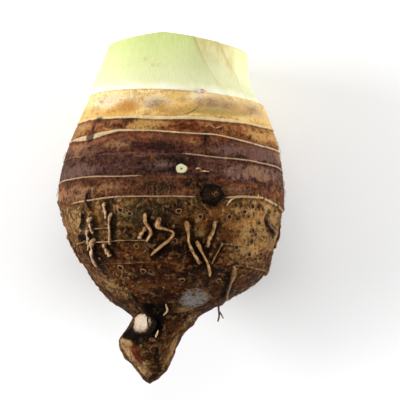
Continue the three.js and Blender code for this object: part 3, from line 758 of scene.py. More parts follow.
class Graph:
    """One material's nodes, made by short calls that return sockets."""

    def __init__(self, name):
        self.material = bpy.data.materials.new(name)
        self.material.use_nodes = True
        self.tree = self.material.node_tree
        self.shader = self.tree.nodes["Principled BSDF"]

    def node(self, kind, **settings):
        node = self.tree.nodes.new("ShaderNode" + kind)
        for key, value in settings.items():
            setattr(node, key, value)
        return node

    def plug(self, socket, value):
        """Links a socket to another one, or sets it to a plain value."""
        if isinstance(value, bpy.types.NodeSocket):
            self.tree.links.new(value, socket)
        else:
            socket.default_value = value

    def value(self, name):
        """A named value of the mesh."""
        return self.node("Attribute", attribute_name=name).outputs["Fac"]

    def place(self, stretch=(1, 1, 1)):
        """Growth-frame place in mm, squeezed along each axis by the factors given."""
        grow = self.node("Attribute", attribute_name="grow").outputs["Vector"]
        squeeze = self.node("VectorMath", operation="MULTIPLY")
        self.plug(squeeze.inputs[0], grow)
        squeeze.inputs[1].default_value = stretch
        return squeeze.outputs["Vector"]

    def calc(self, operation, a, b=0.0):
        """One Math node."""
        node = self.node("Math", operation=operation)
        self.plug(node.inputs[0], a)
        self.plug(node.inputs[1], b)
        return node.outputs["Value"]

    def times(self, *parts):
        """Multiplies sockets and numbers."""
        total = parts[0]
        for part in parts[1:]:
            total = self.calc("MULTIPLY", total, part)
        return total

    def sum(self, *parts, offset=0.0):
        """Adds sockets up, each times its own factor."""
        total = offset
        for value, factor in parts:
            node = self.node("Math", operation="MULTIPLY_ADD")
            self.plug(node.inputs[0], value)
            node.inputs[1].default_value = factor
            self.plug(node.inputs[2], total)
            total = node.outputs["Value"]
        return total

    def step(self, value, low, high):
        """Goes smoothly from 0 to 1 as the value goes from low to high."""
        node = self.node("MapRange", interpolation_type="SMOOTHSTEP")
        self.plug(node.inputs["Value"], value)
        node.inputs["From Min"].default_value = low
        node.inputs["From Max"].default_value = high
        return node.outputs["Result"]

    def mix(self, factor, a, b, blend="MIX"):
        """Goes from colour a to colour b with the factor."""
        node = self.node("Mix", data_type="RGBA", blend_type=blend)
        self.plug(node.inputs["Factor"], factor)
        self.plug(node.inputs[6], a)
        self.plug(node.inputs[7], b)
        return node.outputs[2]

    def lay(self, colour, tint, *factors, blend="MIX"):
        """Lays a tint over a colour, as fully as the factors say when multiplied."""
        return self.mix(self.times(*factors), colour, tint, blend)

    def noise(self, size, stretch=(1, 1, 1), detail=4, roughness=0.55, distortion=0.0):
        """Noise with lumps of about the given size in mm."""
        node = self.node("TexNoise")
        self.plug(node.inputs["Vector"], self.place(stretch))
        node.inputs["Scale"].default_value = 1 / size
        node.inputs["Detail"].default_value = detail
        node.inputs["Roughness"].default_value = roughness
        node.inputs["Distortion"].default_value = distortion
        return node.outputs["Fac"]

    def cloud(self, size, **settings):
        """Noise whose middle is 0."""
        return self.calc("SUBTRACT", self.noise(size, **settings), 0.5)

    def cells(self, size):
        """Distance to the nearest of points scattered about the given size in mm apart."""
        node = self.node("TexVoronoi")
        self.plug(node.inputs["Vector"], self.place())
        node.inputs["Scale"].default_value = 1 / size
        return node.outputs["Distance"]

    def ramp(self, value, stops, top=1.0):
        """Colour along a value, from (place, colour) stops, with places from 0 to the top."""
        node = self.node("ValToRGB")
        self.plug(node.inputs["Fac"], value)
        ramp = node.color_ramp
        while len(ramp.elements) < len(stops):
            ramp.elements.new(1.0)
        for element, (place, colour) in zip(ramp.elements, stops):
            element.position = place / top
            element.color = colour
        return node.outputs["Color"]

    def bump(self, height, depth, under=None):
        """Turns a height from 0 to 1 into relief of the given depth in mm."""
        node = self.node("Bump")
        node.inputs["Distance"].default_value = depth * MM
        self.plug(node.inputs["Height"], height)
        if under is not None:
            self.plug(node.inputs["Normal"], under)
        return node.outputs["Normal"]

    def finish(self, colour, roughness, specular, normal):
        """Sets the shader up, and gives the material."""
        self.plug(self.shader.inputs["Base Color"], colour)
        self.plug(self.shader.inputs["Roughness"], roughness)
        self.shader.inputs["Specular IOR Level"].default_value = specular
        self.plug(self.shader.inputs["Normal"], normal)
        return self.material


# ---- materials

TOP_LEVEL = float(RINGS[-1, 0])
# Growth levels between which the looks change: where the top band becomes calm, where the lines
# of the leaf scars turn pale, where the rough bark sets in and eases off below, and where the
# flat layers of the low bark come in.
CALM_FROM = (118, 130)
PALE_LINES_FROM = (110, 122)
ROUGH_BELOW = (88, 85)
ROUGH_EASES = (80, 60)
LAYERED_BELOW = (88, 62)

# The bark has two layers: what shows where it is worn, and the dark skin over it. Each is
# coloured by growth level, from the tail up.
WORN_BARK = [
    (0, rgb(150, 112, 66)), (20, rgb(128, 86, 44)), (38.9, rgb(124, 76, 34)), (55.9, rgb(132, 82, 38)),
    (66.5, rgb(128, 80, 38)), (66.7, rgb(146, 105, 56)), (86.9, rgb(150, 110, 62)),
    (87.1, rgb(140, 92, 60)), (97.1, rgb(136, 88, 62)), (97.3, rgb(124, 84, 66)),
    (107.9, rgb(124, 84, 68)), (108.1, rgb(134, 90, 68)), (118.1, rgb(148, 96, 64)),
    (118.3, rgb(168, 116, 74)), (128.3, rgb(184, 130, 80)), (128.5, rgb(228, 192, 122)),
    (141, rgb(246, 222, 164)),
]
DARK_BARK = [
    (0, rgb(62, 38, 20)), (20, rgb(42, 22, 10)), (38.9, rgb(44, 20, 7)), (55.9, rgb(50, 24, 9)),
    (66.5, rgb(48, 25, 10)), (66.7, rgb(56, 34, 14)), (86.9, rgb(60, 39, 19)), (87.1, rgb(76, 44, 28)),
    (97.1, rgb(66, 38, 28)), (97.3, rgb(60, 38, 36)), (107.9, rgb(66, 42, 38)), (108.1, rgb(70, 44, 42)),
    (118.1, rgb(106, 66, 44)), (118.3, rgb(100, 54, 30)), (128.3, rgb(112, 58, 30)),
    (128.5, rgb(188, 138, 70)), (141, rgb(206, 156, 86)),
]
COVER = [
    (0, 0.6), (38, 0.66), (66, 0.64), (67, 0.52), (87, 0.48), (87.2, 0.58), (97, 0.46), (97.3, 0.66),
    (107.9, 0.46), (108.2, 0.74), (118, 0.36), (118.3, 0.56), (128.3, 0.44), (128.6, 0.38), (141, 0.3),
]
MIDDLE_COVER = 0.16

# Tints of the two layers where a patch lies: colour, and how fully it covers.
DARK_TINTS = {
    "red": (rgb(88, 36, 14), 0.8), "purple": (rgb(70, 36, 34), 0.85), "black": (rgb(30, 19, 11), 0.9),
    "rot": (rgb(12, 8, 5), 0.98),
}
WORN_TINTS = {
    "gold": (rgb(172, 130, 78), 0.78), "tan": (rgb(152, 118, 78), 0.75),
}
# Stains over both layers, in the order they are laid.
STAINS = {
    "dusk": (rgb(144, 110, 98), 0.6), "moss": (rgb(90, 80, 54), 0.4), "rust": (rgb(132, 76, 32), 0.6),
    "fawn": (rgb(164, 120, 90), 0.5), "ochre": (rgb(208, 163, 100), 0.66),
    "caramel": (rgb(220, 170, 98), 0.85), "honey": (rgb(240, 196, 108), 0.75),
    "cream": (rgb(248, 232, 196), 0.8), "dun": (rgb(220, 186, 138), 0.75), "mauve": (rgb(156, 122, 92), 0.8),
    "amber": (rgb(204, 136, 60), 0.85), "olive": (rgb(184, 164, 92), 0.8),
}
# How far a full tint of each layer moves the bark towards that layer.
TINT_COVER = {"dark": 0.28, "worn": -0.22}
# The bark's hue wanders between rust, ash and ember: what it is multiplied by there.
RUST = (1.25, 0.88, 0.66, 1)
ASH = (0.88, 0.96, 1.0, 1)
EMBER = (1.42, 1.08, 0.74, 1)
# What deepens the bark's dark tints and lifts its light ones.
BARK_GAMMA = 1.12
BARK_GAIN = 1.36
# Each leaf stalk's tints, half way up and at the cut.
STALK_TINTS = {
    "outer": (rgb(214, 220, 156), rgb(196, 208, 126)),
    "second": (rgb(226, 226, 178), rgb(222, 218, 152)),
    "inner": (rgb(236, 236, 188), rgb(232, 230, 164)),
}


class SkinGraph(Graph):
    """The skin's material: noises that its layers share, and the layers, one method each."""

    def __init__(self, name):
        super().__init__(name)
        self.level = self.value("level")
        self.smear = self.cloud(8, stretch=(0.5, 0.5, 1.5), detail=6, roughness=0.6, distortion=0.5)
        self.mottle = self.cloud(2.8, stretch=(0.9, 0.9, 1.1), detail=6, roughness=0.68, distortion=0.3)
        self.blotch = self.cloud(1.5, detail=3, roughness=0.6)
        self.fibre = self.cloud(1.0, stretch=(1, 1, 0.2), detail=5, roughness=0.7)
        self.grain = self.cloud(0.55, detail=3, roughness=0.7)
        self.veins = self.cloud(0.6, stretch=(1, 1, 0.1), detail=3, roughness=0.7)
        self.crumb = self.cloud(3.0, detail=4, roughness=0.6, distortion=0.6)
        self.strata = self.cloud(3.0, stretch=(0.45, 0.45, 1.4), detail=5, roughness=0.62, distortion=0.8)
        # The top band is calm, the bark below it busy.
        self.calm = self.step(self.level, *CALM_FROM)
        self.busy = self.calc("SUBTRACT", 1, self.calm)
        # What breaks up the borders of patches, sharply or softly.
        self.ragged = self.sum((self.smear, 2.2), (self.mottle, 2.8), (self.fibre, 0.3), offset=1.0)
        self.soft = self.sum(
            (self.smear, 3.2), (self.mottle, 3.4), (self.blotch, 1.8), (self.grain, 0.9), offset=1.0,
        )

    def patch(self, name, border, low, high):
        """Where a tint's patches show, with a border that is broken up."""
        return self.step(self.times(self.value(name), border), low, high)

    def bark(self):
        """Worn bark under dark bark: the colour, and the tone that says which shows."""
        share = self.calc("DIVIDE", self.level, TOP_LEVEL)
        dark = self.ramp(share, DARK_BARK, TOP_LEVEL)
        worn = self.ramp(share, WORN_BARK, TOP_LEVEL)
        cover = self.value("cover")
        for name, (tint, most) in DARK_TINTS.items():
            mask = self.times(self.patch(name, self.ragged, 0.15, 0.9), most)
            dark = self.mix(mask, dark, tint)
            cover = self.sum((cover, 1), (mask, TINT_COVER["dark"]))
        for name, (tint, most) in WORN_TINTS.items():
            mask = self.times(self.patch(name, self.ragged, 0.15, 0.9), most)
            worn = self.mix(mask, worn, tint)
            cover = self.sum((cover, 1), (mask, TINT_COVER["worn"]))
        fine = self.sum((self.fibre, 0.5), (self.grain, 0.7), (self.blotch, 1.35))
        fine = self.times(fine, self.sum((self.busy, 0.5), offset=0.5))
        tone = self.sum((self.smear, 1.5), (self.mottle, 1.5), (fine, 1), (cover, -1), offset=1.0)
        colour = self.mix(self.step(tone, 0.05, 0.95), dark, worn)
        deep = self.sum((self.busy, 0.6), offset=0.12)
        colour = self.lay(colour, rgb(20, 9, 3), self.step(tone, 0.3, -0.1), deep)
        pale = self.mix(self.calm, rgb(206, 160, 96), rgb(250, 232, 190))
        light = self.mix(self.sum((self.calm, 0.2), offset=0.35), worn, pale)
        lit = self.sum((self.calm, -0.45), offset=0.75)
        return self.lay(colour, light, self.step(tone, 0.78, 1.2), lit), tone

    def hue(self, colour):
        """Turns the bark towards rust, ash and ember in places, and gives it more contrast."""
        hue = self.cloud(4.2, detail=4, roughness=0.62)
        rust = self.sum((self.busy, 0.6), offset=0.1)
        colour = self.lay(colour, RUST, self.step(hue, 0.03, 0.2), rust, blend="MULTIPLY")
        ash = self.sum((self.busy, 0.8), offset=0.1)
        colour = self.lay(colour, ASH, self.step(hue, -0.02, -0.18), ash, blend="MULTIPLY")
        ember = self.step(self.cloud(1.3, stretch=(0.8, 0.8, 1), detail=3), 0.05, 0.16)
        colour = self.lay(colour, EMBER, ember, self.busy, 0.55, blend="MULTIPLY")
        deeper = self.node("Gamma")
        self.plug(deeper.inputs["Color"], colour)
        deeper.inputs["Gamma"].default_value = BARK_GAMMA
        return self.mix(1.0, deeper.outputs["Color"], (BARK_GAIN, BARK_GAIN, BARK_GAIN, 1), "MULTIPLY")

    def crumbs(self, colour, rough):
        """Red scabs, pale crumbs and dark gaps on the rough bark below the bud."""
        scab = self.cloud(3.7, stretch=(1, 1, 1.3), detail=4, roughness=0.6, distortion=0.6)
        colour = self.lay(colour, rgb(118, 60, 24), self.step(scab, 0.05, 0.15), rough, 0.5)
        clean = self.step(self.value("black"), 1.0, 0.1)
        colour = self.lay(colour, rgb(204, 168, 116), self.step(self.crumb, 0.06, 0.14), rough, clean, 0.62)
        return self.lay(colour, rgb(30, 17, 9), self.step(self.crumb, -0.07, -0.16), rough, 0.6)

    def flesh(self, colour, cut_face):
        """The starchy cut face on the tail, and its wine-red stain."""
        chips = self.sum((self.smear, 1), (self.mottle, 1), (self.blotch, 0.6))
        starch = self.mix(self.step(chips, -0.12, 0.14), rgb(138, 98, 60), rgb(202, 162, 112))
        colour = self.lay(colour, starch, cut_face, 0.95)
        wine = self.mix(self.step(self.blotch, -0.1, 0.1), rgb(70, 22, 12), rgb(140, 56, 30))
        return self.lay(colour, wine, self.patch("wine", self.ragged, 0.3, 0.9), 0.95)

    def mould(self, colour):
        """The grey crust with small holes."""
        holes = self.step(self.sum((self.cloud(1.0, detail=2), 1), (self.grain, 0.5)), -0.12, -0.04)
        crust = self.times(
            self.value("pale"), self.sum((self.mottle, 0.8), offset=1.0), self.sum((holes, 0.6), offset=0.4),
        )
        grey = self.step(self.sum((self.smear, 1), (self.blotch, 1)), -0.15, 0.15)
        lime = self.mix(grey, rgb(134, 122, 110), rgb(190, 184, 178))
        return self.lay(colour, lime, self.step(crust, 0.35, 1.0), 0.85)

    def streaks(self, colour, low):
        """Fine fibres everywhere, and flat layers where the bark is low and sound; the layers' streaks are
        partly the bark's colour and partly painted highlight on their raised strokes and painted shade
        between them.
        """
        shown = self.times(self.sum((self.busy, 0.2), offset=0.04), self.step(self.mottle, -0.1, 0.1))
        colour = self.lay(colour, rgb(178, 124, 70), self.step(self.veins, 0.05, 0.2), shown)
        colour = self.lay(colour, rgb(22, 12, 6), self.step(self.veins, -0.05, -0.2), shown, 1.7)
        # Tan strokes on the raised layers: the bark's colour and a painted highlight.
        colour = self.lay(colour, rgb(156, 114, 70), self.step(self.strata, 0.05, 0.14), low, 0.42)
        # Near-black strokes between the layers: the bark's colour and painted shade.
        return self.lay(colour, rgb(22, 12, 6), self.step(self.strata, -0.05, -0.15), low, 0.6)

    def darkening(self, colour):
        """Rot and dark specks, painted shade in the grooves, and the painted shadow that the rootlets cast
        beside them.
        """
        colour = self.lay(colour, rgb(13, 8, 5), self.patch("rot", self.soft, 0.3, 0.95), 0.85)
        few = self.step(self.noise(4, detail=2), 0.52, 0.6)
        colour = self.lay(colour, rgb(44, 28, 18), self.step(self.cells(1.7), 0.26, 0.12), few, 0.7)
        # Painted shade in the grooves below the leaf scars.
        colour = self.lay(colour, rgb(30, 16, 8), self.value("groove"), 0.45)
        # Painted shadow beside the rootlets, broken up by noise.
        soil = self.sum((self.value("soil"), 1), (self.mottle, 1.5), (self.smear, 1.0))
        return self.lay(colour, rgb(24, 11, 4), self.step(soil, 0.25, 0.8), 0.85)

    def leaf_scars(self, colour):
        """The pale lines of the leaf scars, ragged where they are narrow, and brown where faint."""
        breaks = self.sum((self.mottle, 1.1), (self.grain, 0.8))
        calmer = self.sum((self.value("wide"), -0.7), offset=1.0)
        torn = self.sum((self.value("line"), 1), (self.times(breaks, calmer), 1))
        plain = self.step(self.sum((self.mottle, 0.6), (self.value("shown"), 1)), 0.45, 0.85)
        low_line = self.mix(plain, rgb(140, 92, 50), rgb(222, 186, 142))
        line = self.mix(self.step(self.level, *PALE_LINES_FROM), low_line, rgb(248, 224, 174))
        return self.lay(colour, line, self.step(torn, 0.25, 0.85), 0.85)

    def bruises(self, colour):
        """Purple stains with ragged borders."""
        border = self.sum((self.mottle, 2.0), (self.grain, 1), offset=1.0)
        purple = self.mix(self.step(self.blotch, -0.05, 0.12), rgb(40, 20, 26), rgb(98, 54, 52))
        return self.lay(colour, purple, self.patch("bruise", border, 0.2, 0.8), 0.85)


def skin_material(name):
    """The corm's skin: two layers of bark with stains, cream leaf scars, fibres and specks."""
    g = SkinGraph(name)
    rough = g.sum((g.step(g.level, *ROUGH_BELOW), 1), (g.step(g.level, *ROUGH_EASES), -0.45))
    cut_face = g.patch("cut", g.ragged, 0.25, 0.7)
    sound = g.sum((g.calc("MAXIMUM", cut_face, g.value("rot")), -1), offset=1.0)
    low = g.times(g.step(g.level, *LAYERED_BELOW), g.calc("MAXIMUM", sound, 0))
    colour, tone = g.bark()
    colour = g.hue(colour)
    for stain, (tint, most) in STAINS.items():
        colour = g.lay(colour, tint, g.patch(stain, g.soft, 0.1, 1.0), most)
    colour = g.crumbs(colour, rough)
    colour = g.flesh(colour, cut_face)
    colour = g.mould(colour)
    colour = g.streaks(colour, low)
    colour = g.darkening(colour)
    colour = g.leaf_scars(colour)
    colour = g.bruises(colour)
    normal = g.bump(g.step(tone, 0.1, 0.7), 0.3)
    normal = g.bump(g.noise(1.5, detail=6, roughness=0.68), 1.5, normal)
    normal = g.bump(g.veins, 0.35, normal)
    normal = g.bump(g.times(g.step(g.strata, -0.12, 0.14), low), 0.45, normal)
    normal = g.bump(g.times(g.step(g.crumb, -0.16, 0.16), rough), 0.6, normal)
    return g.finish(colour, g.sum((g.smear, 0.6), offset=0.62), 0.04, normal)


def rootlet_material(name, pale, dark):
    """Dry rootlets, wrinkled and stained, darker at the root. Painted light makes them tan with a painted
    highlight where they face outward, and painted shade darkens their low sides and their wrinkles.
    """
    g = Graph(name)
    wrinkle = g.cloud(0.6, stretch=(1, 1, 0.3), detail=4, roughness=0.65)
    blotch = g.cloud(1.9, detail=4, roughness=0.6)
    facing = g.value("facing")
    # How lit a rootlet looks: painted light from how far it faces outward, mixed with blotches and wrinkles.
    lit = g.sum((facing, 0.75), (g.value("along"), 0.15), (blotch, 2.6), (wrinkle, 0.8), offset=0.1)
    colour = g.mix(g.step(lit, 0.1, 0.95), dark, pale)
    # Painted highlight where a rootlet faces outward.
    colour = g.lay(colour, rgb(216, 180, 126), g.step(lit, 0.8, 1.25), 0.85)
    # The pale dry outside shows mostly where painted light falls.
    colour = g.lay(colour, rgb(212, 180, 146), g.value("bleach"), g.step(lit, 0.3, 1.0))
    rusty = g.step(g.cloud(3.6, detail=2), 0.02, 0.14)
    colour = g.lay(colour, (1.05, 0.72, 0.45, 1), rusty, 0.6, blend="MULTIPLY")
    # Painted shade on the sides that face in towards the skin.
    colour = g.lay(colour, rgb(40, 21, 9), g.step(facing, 0.4, -0.3), 0.85)
    # Painted shade in the wrinkles.
    colour = g.lay(colour, rgb(62, 34, 16), g.step(wrinkle, -0.02, -0.16), 0.6)
    # Darkened rootlets, still lighter where painted light falls.
    darkened = g.mix(g.step(lit, 0.2, 1.0), rgb(40, 24, 13), rgb(104, 72, 46))
    colour = g.lay(colour, darkened, g.value("tone"))
    return g.finish(colour, 0.6, 0.2, g.bump(g.sum((wrinkle, 1), (blotch, 1.5)), 0.5))


def plain_material(name, low, high, size=0.6, depth=0.2):
    """Two tints broken up by fine noise, for small dry pieces."""
    g = Graph(name)
    spread = g.noise(size, detail=5, roughness=0.65)
    colour = g.mix(g.step(spread, 0.38, 0.64), low, high)
    return g.finish(colour, 0.8, 0.15, g.bump(spread, depth))


def target_material(name, stops, size, depth, ragged=0.35, darkening=0.0, faded=0.0):
    """A round feature coloured from its middle outwards, broken up by fine noise. Where many
    share the material, "faded" is how far some of them go back to their last colour."""
    g = Graph(name)
    spread = g.cloud(size, detail=4, roughness=0.65)
    colour = g.ramp(g.sum((g.value("along"), 1), (spread, ragged)), stops)
    stained = g.sum((g.value("lean"), -darkening), (spread, -4), offset=-0.1)
    colour = g.lay(colour, rgb(50, 28, 14), g.step(stained, 0.0, 0.9), 0.6)
    if faded:
        colour = g.lay(colour, stops[-1][1], g.step(g.noise(6, detail=1), 0.5, 0.6), faded)
    return g.finish(colour, 0.75, 0.12, g.bump(spread, depth))


def bud_material():
    """Worn scales round a dark middle: painted shade leaves them brown on one side and nearly black on the
    other.
    """
    g = Graph("bud")
    outward = g.value("along")
    scales = g.cloud(0.7, detail=5, roughness=0.7)
    rings = g.calc("SINE", g.sum((outward, 34), (scales, 14)))
    # The lean term paints shade on one side of the bud.
    lit = g.sum(
        (g.value("lean"), -0.2), (outward, -0.55), (g.cloud(2.6, detail=3), 2.0),
        (rings, 0.14), (scales, 1.5),
        offset=0.5,
    )
    colour = g.mix(g.step(lit, 0.0, 0.75), rgb(7, 5, 3), rgb(58, 37, 21))
    colour = g.lay(colour, rgb(152, 102, 54), g.step(outward, 0.75, 0.3), g.step(scales, 0.06, 0.13), 0.8)
    return g.finish(colour, 0.85, 0.08, g.bump(g.sum((rings, 0.3), (scales, 1.2)), 0.5))


def stalk_material(name, shade, top):
    """Leaf stalk: pale yellow-green over a cream foot, fine parallel veins, a spongy cut."""
    g = Graph(name)
    veins = g.noise(0.7, stretch=(1, 1, 0.015), detail=4, roughness=0.6)
    wash = g.sum((g.value("share"), 1), (g.cloud(11, stretch=(1, 1, 0.4), detail=3), 0.3))
    colour = g.ramp(wash, [
        (0.0, rgb(246, 244, 224)), (0.07, rgb(238, 236, 204)), (0.16, rgb(222, 222, 174)),
        (0.5, shade), (1.0, top),
    ])
    colour = g.lay(colour, rgb(170, 186, 108), g.step(veins, 0.48, 0.62), 0.13)
    colour = g.lay(colour, rgb(232, 232, 190), g.step(veins, 0.48, 0.36), 0.18)
    dry = g.step(g.noise(3, stretch=(1, 1, 0.4), detail=3), 0.38, 0.62)
    membrane = g.mix(dry, rgb(206, 186, 118), rgb(224, 216, 158))
    membrane = g.lay(membrane, rgb(186, 160, 104), g.step(veins, 0.5, 0.66), 0.3)
    colour = g.lay(colour, membrane, g.value("membrane"), 0.85)
    colour = g.lay(colour, rgb(190, 190, 152), g.value("ashen"))
    colour = g.lay(colour, rgb(178, 158, 92), g.value("edge"), g.step(g.noise(3, detail=3), 0.3, 0.55), 0.75)
    marks = g.step(g.noise(1.6, stretch=(0.6, 0.6, 1.1), detail=4), 0.42, 0.6)
    colour = g.lay(colour, rgb(184, 162, 96), g.value("bruise"), marks, 0.6)
    sponge = g.cells(1.5)
    pith = g.mix(g.step(sponge, 0.12, 0.5), rgb(200, 207, 156), rgb(238, 239, 210))
    pith = g.lay(pith, rgb(222, 212, 160), g.step(g.noise(7, detail=4), 0.44, 0.62), 0.5)
    pith = g.lay(pith, rgb(150, 158, 98), g.step(g.cells(3.1), 0.2, 0.12), 0.6)
    pith = g.lay(pith, rgb(178, 192, 112), g.value("rim"), 0.75)
    colour = g.lay(colour, pith, g.value("cut"))
    normal = g.bump(g.times(sponge, g.value("cut")), 0.35, g.bump(veins, 0.12))
    g.shader.inputs["Subsurface Weight"].default_value = 0.2
    g.shader.inputs["Subsurface Radius"].default_value = (1.0, 1.0, 0.5)
    g.shader.inputs["Subsurface Scale"].default_value = 0.002
    return g.finish(colour, 0.48, 0.3, normal)


# ---- the corm's pieces


def turned_from(degrees, angle):
    """The difference of two angles, from -180 to 180 degrees."""
    return (degrees - angle + 180) % 360 - 180


def patch_field(patches, degrees, height):
    """How strongly a tint shows: over 1 in the middle of its patches, 0 away from them."""
    field = 0 * height
    for angle, middle, half_angle, half_height, strength in patches:
        off = np.hypot(turned_from(degrees, angle) / half_angle, (height - middle) / half_height)
        field = np.maximum(field, strength * np.clip(PATCH_REACH - off, 0, PATCH_REACH))
    return field


def soil_field(degrees, height):
    """Painted shadow that the rootlets cast on the skin, mostly on their side away from the light."""
    field = 0 * height
    for one in ROOTLETS:
        for angle, middle in route_points(one["route"], 8):
            across = turned_from(degrees, angle) * SKIN_DEGREE - SHADOW_SHIFT
            off = np.hypot(across, height - middle) / (SHADOW_REACH * one["wide"])
            field = np.maximum(field, 1 - smooth(0.3, 1.2, off))
    return field


def corm_levels():
    """Growth levels of the skin's rows: close together at the leaf scars, wider between them."""
    levels = [TIP_LEVEL]
    for ring in RINGS[:, 0]:
        top = ring == RINGS[-1, 0]
        start = ring if top else ring + RING_ROWS[0]
        spacing = TAIL_ROW if ring == RINGS[0, 0] else BODY_ROW
        steps = max(1, round((start - levels[-1]) / spacing))
        levels.extend(np.linspace(levels[-1], start, steps + 1)[1:])
        if not top:
            levels.extend(ring + np.array(RING_ROWS[1:]))
    return np.array(levels)


def corm_skin():
    """The whole skin, from a point at the tail's tip to a shelf under the leaf stalks."""
    degrees, level = np.meshgrid(-180 + 360 * np.arange(COLUMNS) / COLUMNS, corm_levels())
    points, _, _ = corm_points(degrees, level)
    middle = points.mean(axis=1, keepdims=True)
    points = middle + (points - middle) * np.sqrt(np.clip(level / TIP_CLOSES, 0, 1))[..., None]
    shelf = middle[-1] + (points[-1] - middle[-1]) * SHELF_SHARE
    grid = np.concatenate([points, shelf[None]])
    tip = middle[0, 0] - [0, 0, TIP_LEVEL]
    degrees = with_ends(np.concatenate([degrees, degrees[-1:]]), 0, 0)
    level = with_ends(np.concatenate([level, level[-1:]]), 0, TOP_LEVEL)
    height = growth_height(degrees, level)
    line, groove, shown, wide = ring_shape(degrees, level)
    cover = np.interp(level, *zip(*COVER)) + MIDDLE_COVER * (np.sin(np.radians(degrees)) ** 4 - 0.4)
    patches = {name: patch_field(PATCHES[name], degrees, height) for name in PATCHES}
    builder = Builder()
    # Among these values is the painted shadow that the rootlets cast beside them.
    builder.add(
        with_ends(grid, tip, middle[-1, 0]), grid_faces(len(grid), COLUMNS),
        level=level, line=line, groove=groove, shown=shown, wide=wide, cover=cover,
        soil=soil_field(degrees, height), **patches,
    )
    piece = builder.piece("corm_skin", skin_material("corm_skin"))
    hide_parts("corm")


def skin_route(route, count, wide, arch=0.0, gnarl=0.0, seed=0):
    """A path over the skin: its start is sunk in and the rest lies on it, or arches over it."""
    spots = route_points(route, count)
    t = np.linspace(0, 1, count)
    length = 0.5 * abs(route[0][1] - route[-1][1]) + 3
    wander = np.stack([t * length, 0 * t + seed, 0 * t], -1)
    kink = smooth(0, 0.15, t)
    spots[:, 0] += 0.6 * gnarl * kink * noise(wander, 2.9, seed + 3)
    level = growth_level(spots[:, 0], spots[:, 1])
    points, _, normal = corm_points(spots[:, 0], level)
    rest = wide * (0.44 - 1.0 * np.exp(-t / 0.05))
    rest = rest + gnarl * kink * 0.3 * (1 + noise(wander, 2.2, seed + 9))
    over = arch * smooth(0.1, 0.6, t)
    return points + normal * rest[:, None] + TOP_SIDE * over[:, None], normal


def rootlet(builder, wide, tip, route, arch=0.0, tone=0.0, bleach=0.0, beads=0.0, seed=0):
    """A dry rootlet: swollen near its root, pinched after that, uneven, flat and twisted."""
    path, normal = skin_route(route, ROOTLET_POINTS, wide * ROOTLET_HUSK, arch, 1 - 0.6 * tone, seed)
    t = np.linspace(0, 1, ROOTLET_POINTS)
    shape = 1 + 0.32 * np.exp(-(((t - 0.09) / 0.07) ** 2)) - 0.24 * np.exp(-(((t - 0.3) / 0.12) ** 2))
    shape = shape + beads * np.cos(2 * math.pi * (t - 0.15) / 0.35)
    wobble = 1 + 0.22 * noise(np.stack([t * 8, 0 * t + seed, 0 * t], -1), 1.0, seed)
    radius = 0.5 * ROOTLET_HUSK * between(wide, tip, np.sqrt(t)) * shape * wobble
    radius[-2:] *= ROOTLET_END
    flat = 0.72 + 0.12 * noise(np.stack([t * 5, 0 * t, 0 * t + seed], -1), 1.0, seed + 5)
    twist = 2.4 * noise(np.stack([t * 2.2, 0 * t + seed, 0 * t], -1), 1.0, seed + 15)
    tube(builder, path, np.stack([radius, radius * flat], -1), normal, 14, twist, tone=tone, bleach=bleach)


def side_rootlet(n):
    """Side rootlet n, as part.mjs works it out."""
    shortest, longest = SIDE_ROOTLETS["drop"]
    lowest, highest = SIDE_ROOTLETS["height"]
    angle = between(*SIDE_ROOTLETS["angle"], (n + 0.7 * scatter(n + 1)) / SIDE_ROOTLETS["count"])
    height = between(lowest + longest, highest, scatter(n + 20))
    drop = between(shortest, longest, scatter(n + 40))
    bend = SIDE_ROOTLETS["bend"] * (2 * scatter(n + 60) - 1)
    route = [(angle, height), (angle + bend, height - drop / 2), (angle + bend / 2, height - drop)]
    return {"wide": SIDE_ROOTLETS["wide"], "tip": SIDE_ROOTLETS["tip"], "route": route}


def rootlets():
    """The rootlets that the photo shows, and those on the other sides."""
    material = rootlet_material("rootlet", rgb(178, 132, 78), rgb(98, 58, 26))
    builder = Builder()
    for k, one in enumerate(ROOTLETS):
        rootlet(builder, seed=k, **one)
    builder.piece("rootlets", material)
    sides = Builder()
    for n in range(SIDE_ROOTLETS["count"]):
        rootlet(sides, **side_rootlet(n), seed=SIDE_SEED + n)
    sides.piece("side_rootlets", material)


def local_frame(spot):
    """Place on the skin with its directions: round the corm, up the corm, and outwards."""
    place, out = on_skin(*spot)
    up = UPWARD - out * (UPWARD @ out)
    up = up / np.linalg.norm(up)
    return place, np.cross(up, out), up, out


def root_scars():
    """Small craters where roots came away: a raised tan rim round a dark pit."""
    spots = [(angle, height, 1.0) for angle, height in ROOT_SCARS]
    for n in range(SIDE_SCARS["count"]):
        angle = between(*SIDE_SCARS["angle"], (n + 0.5) / SIDE_SCARS["count"])
        spots.append((angle, between(*SIDE_SCARS["height"], scatter(n + 80)), 1.0))
    random = np.random.default_rng(SEED)
    for _ in range(SMALL_SCARS["count"]):
        angle = random.uniform(-180, 180)
        spots.append((angle, random.uniform(*SMALL_SCARS["height"]), random.uniform(*SMALL_SCARS["scale"])))
    builder = Builder()
    for angle, height, scale in spots:
        radius = SCAR_RADIUS * scale * random.uniform(0.9, 1.2)
        squash = random.uniform(0.75, 1.0)
        phase = random.uniform(0, 6)

        def outline(turn):
            return radius * (1 - (1 - squash) * np.sin(turn) ** 2 + 0.08 * np.sin(3 * turn + phase))

        disc(builder, local_frame((angle, height)), SCAR_PROFILE, 16, outline)
    builder.roughen(1.2, 0.12, seed=71)
    material = target_material("root_scar", [
        (0.0, rgb(18, 10, 5)), (0.48, rgb(22, 12, 6)), (0.6, rgb(76, 48, 25)),
        (0.72, rgb(176, 134, 88)), (0.82, rgb(116, 80, 46)), (1.0, rgb(86, 56, 31)),
    ], 0.8, 0.2, ragged=0.6, faded=0.3)
    builder.piece("root_scars", material)


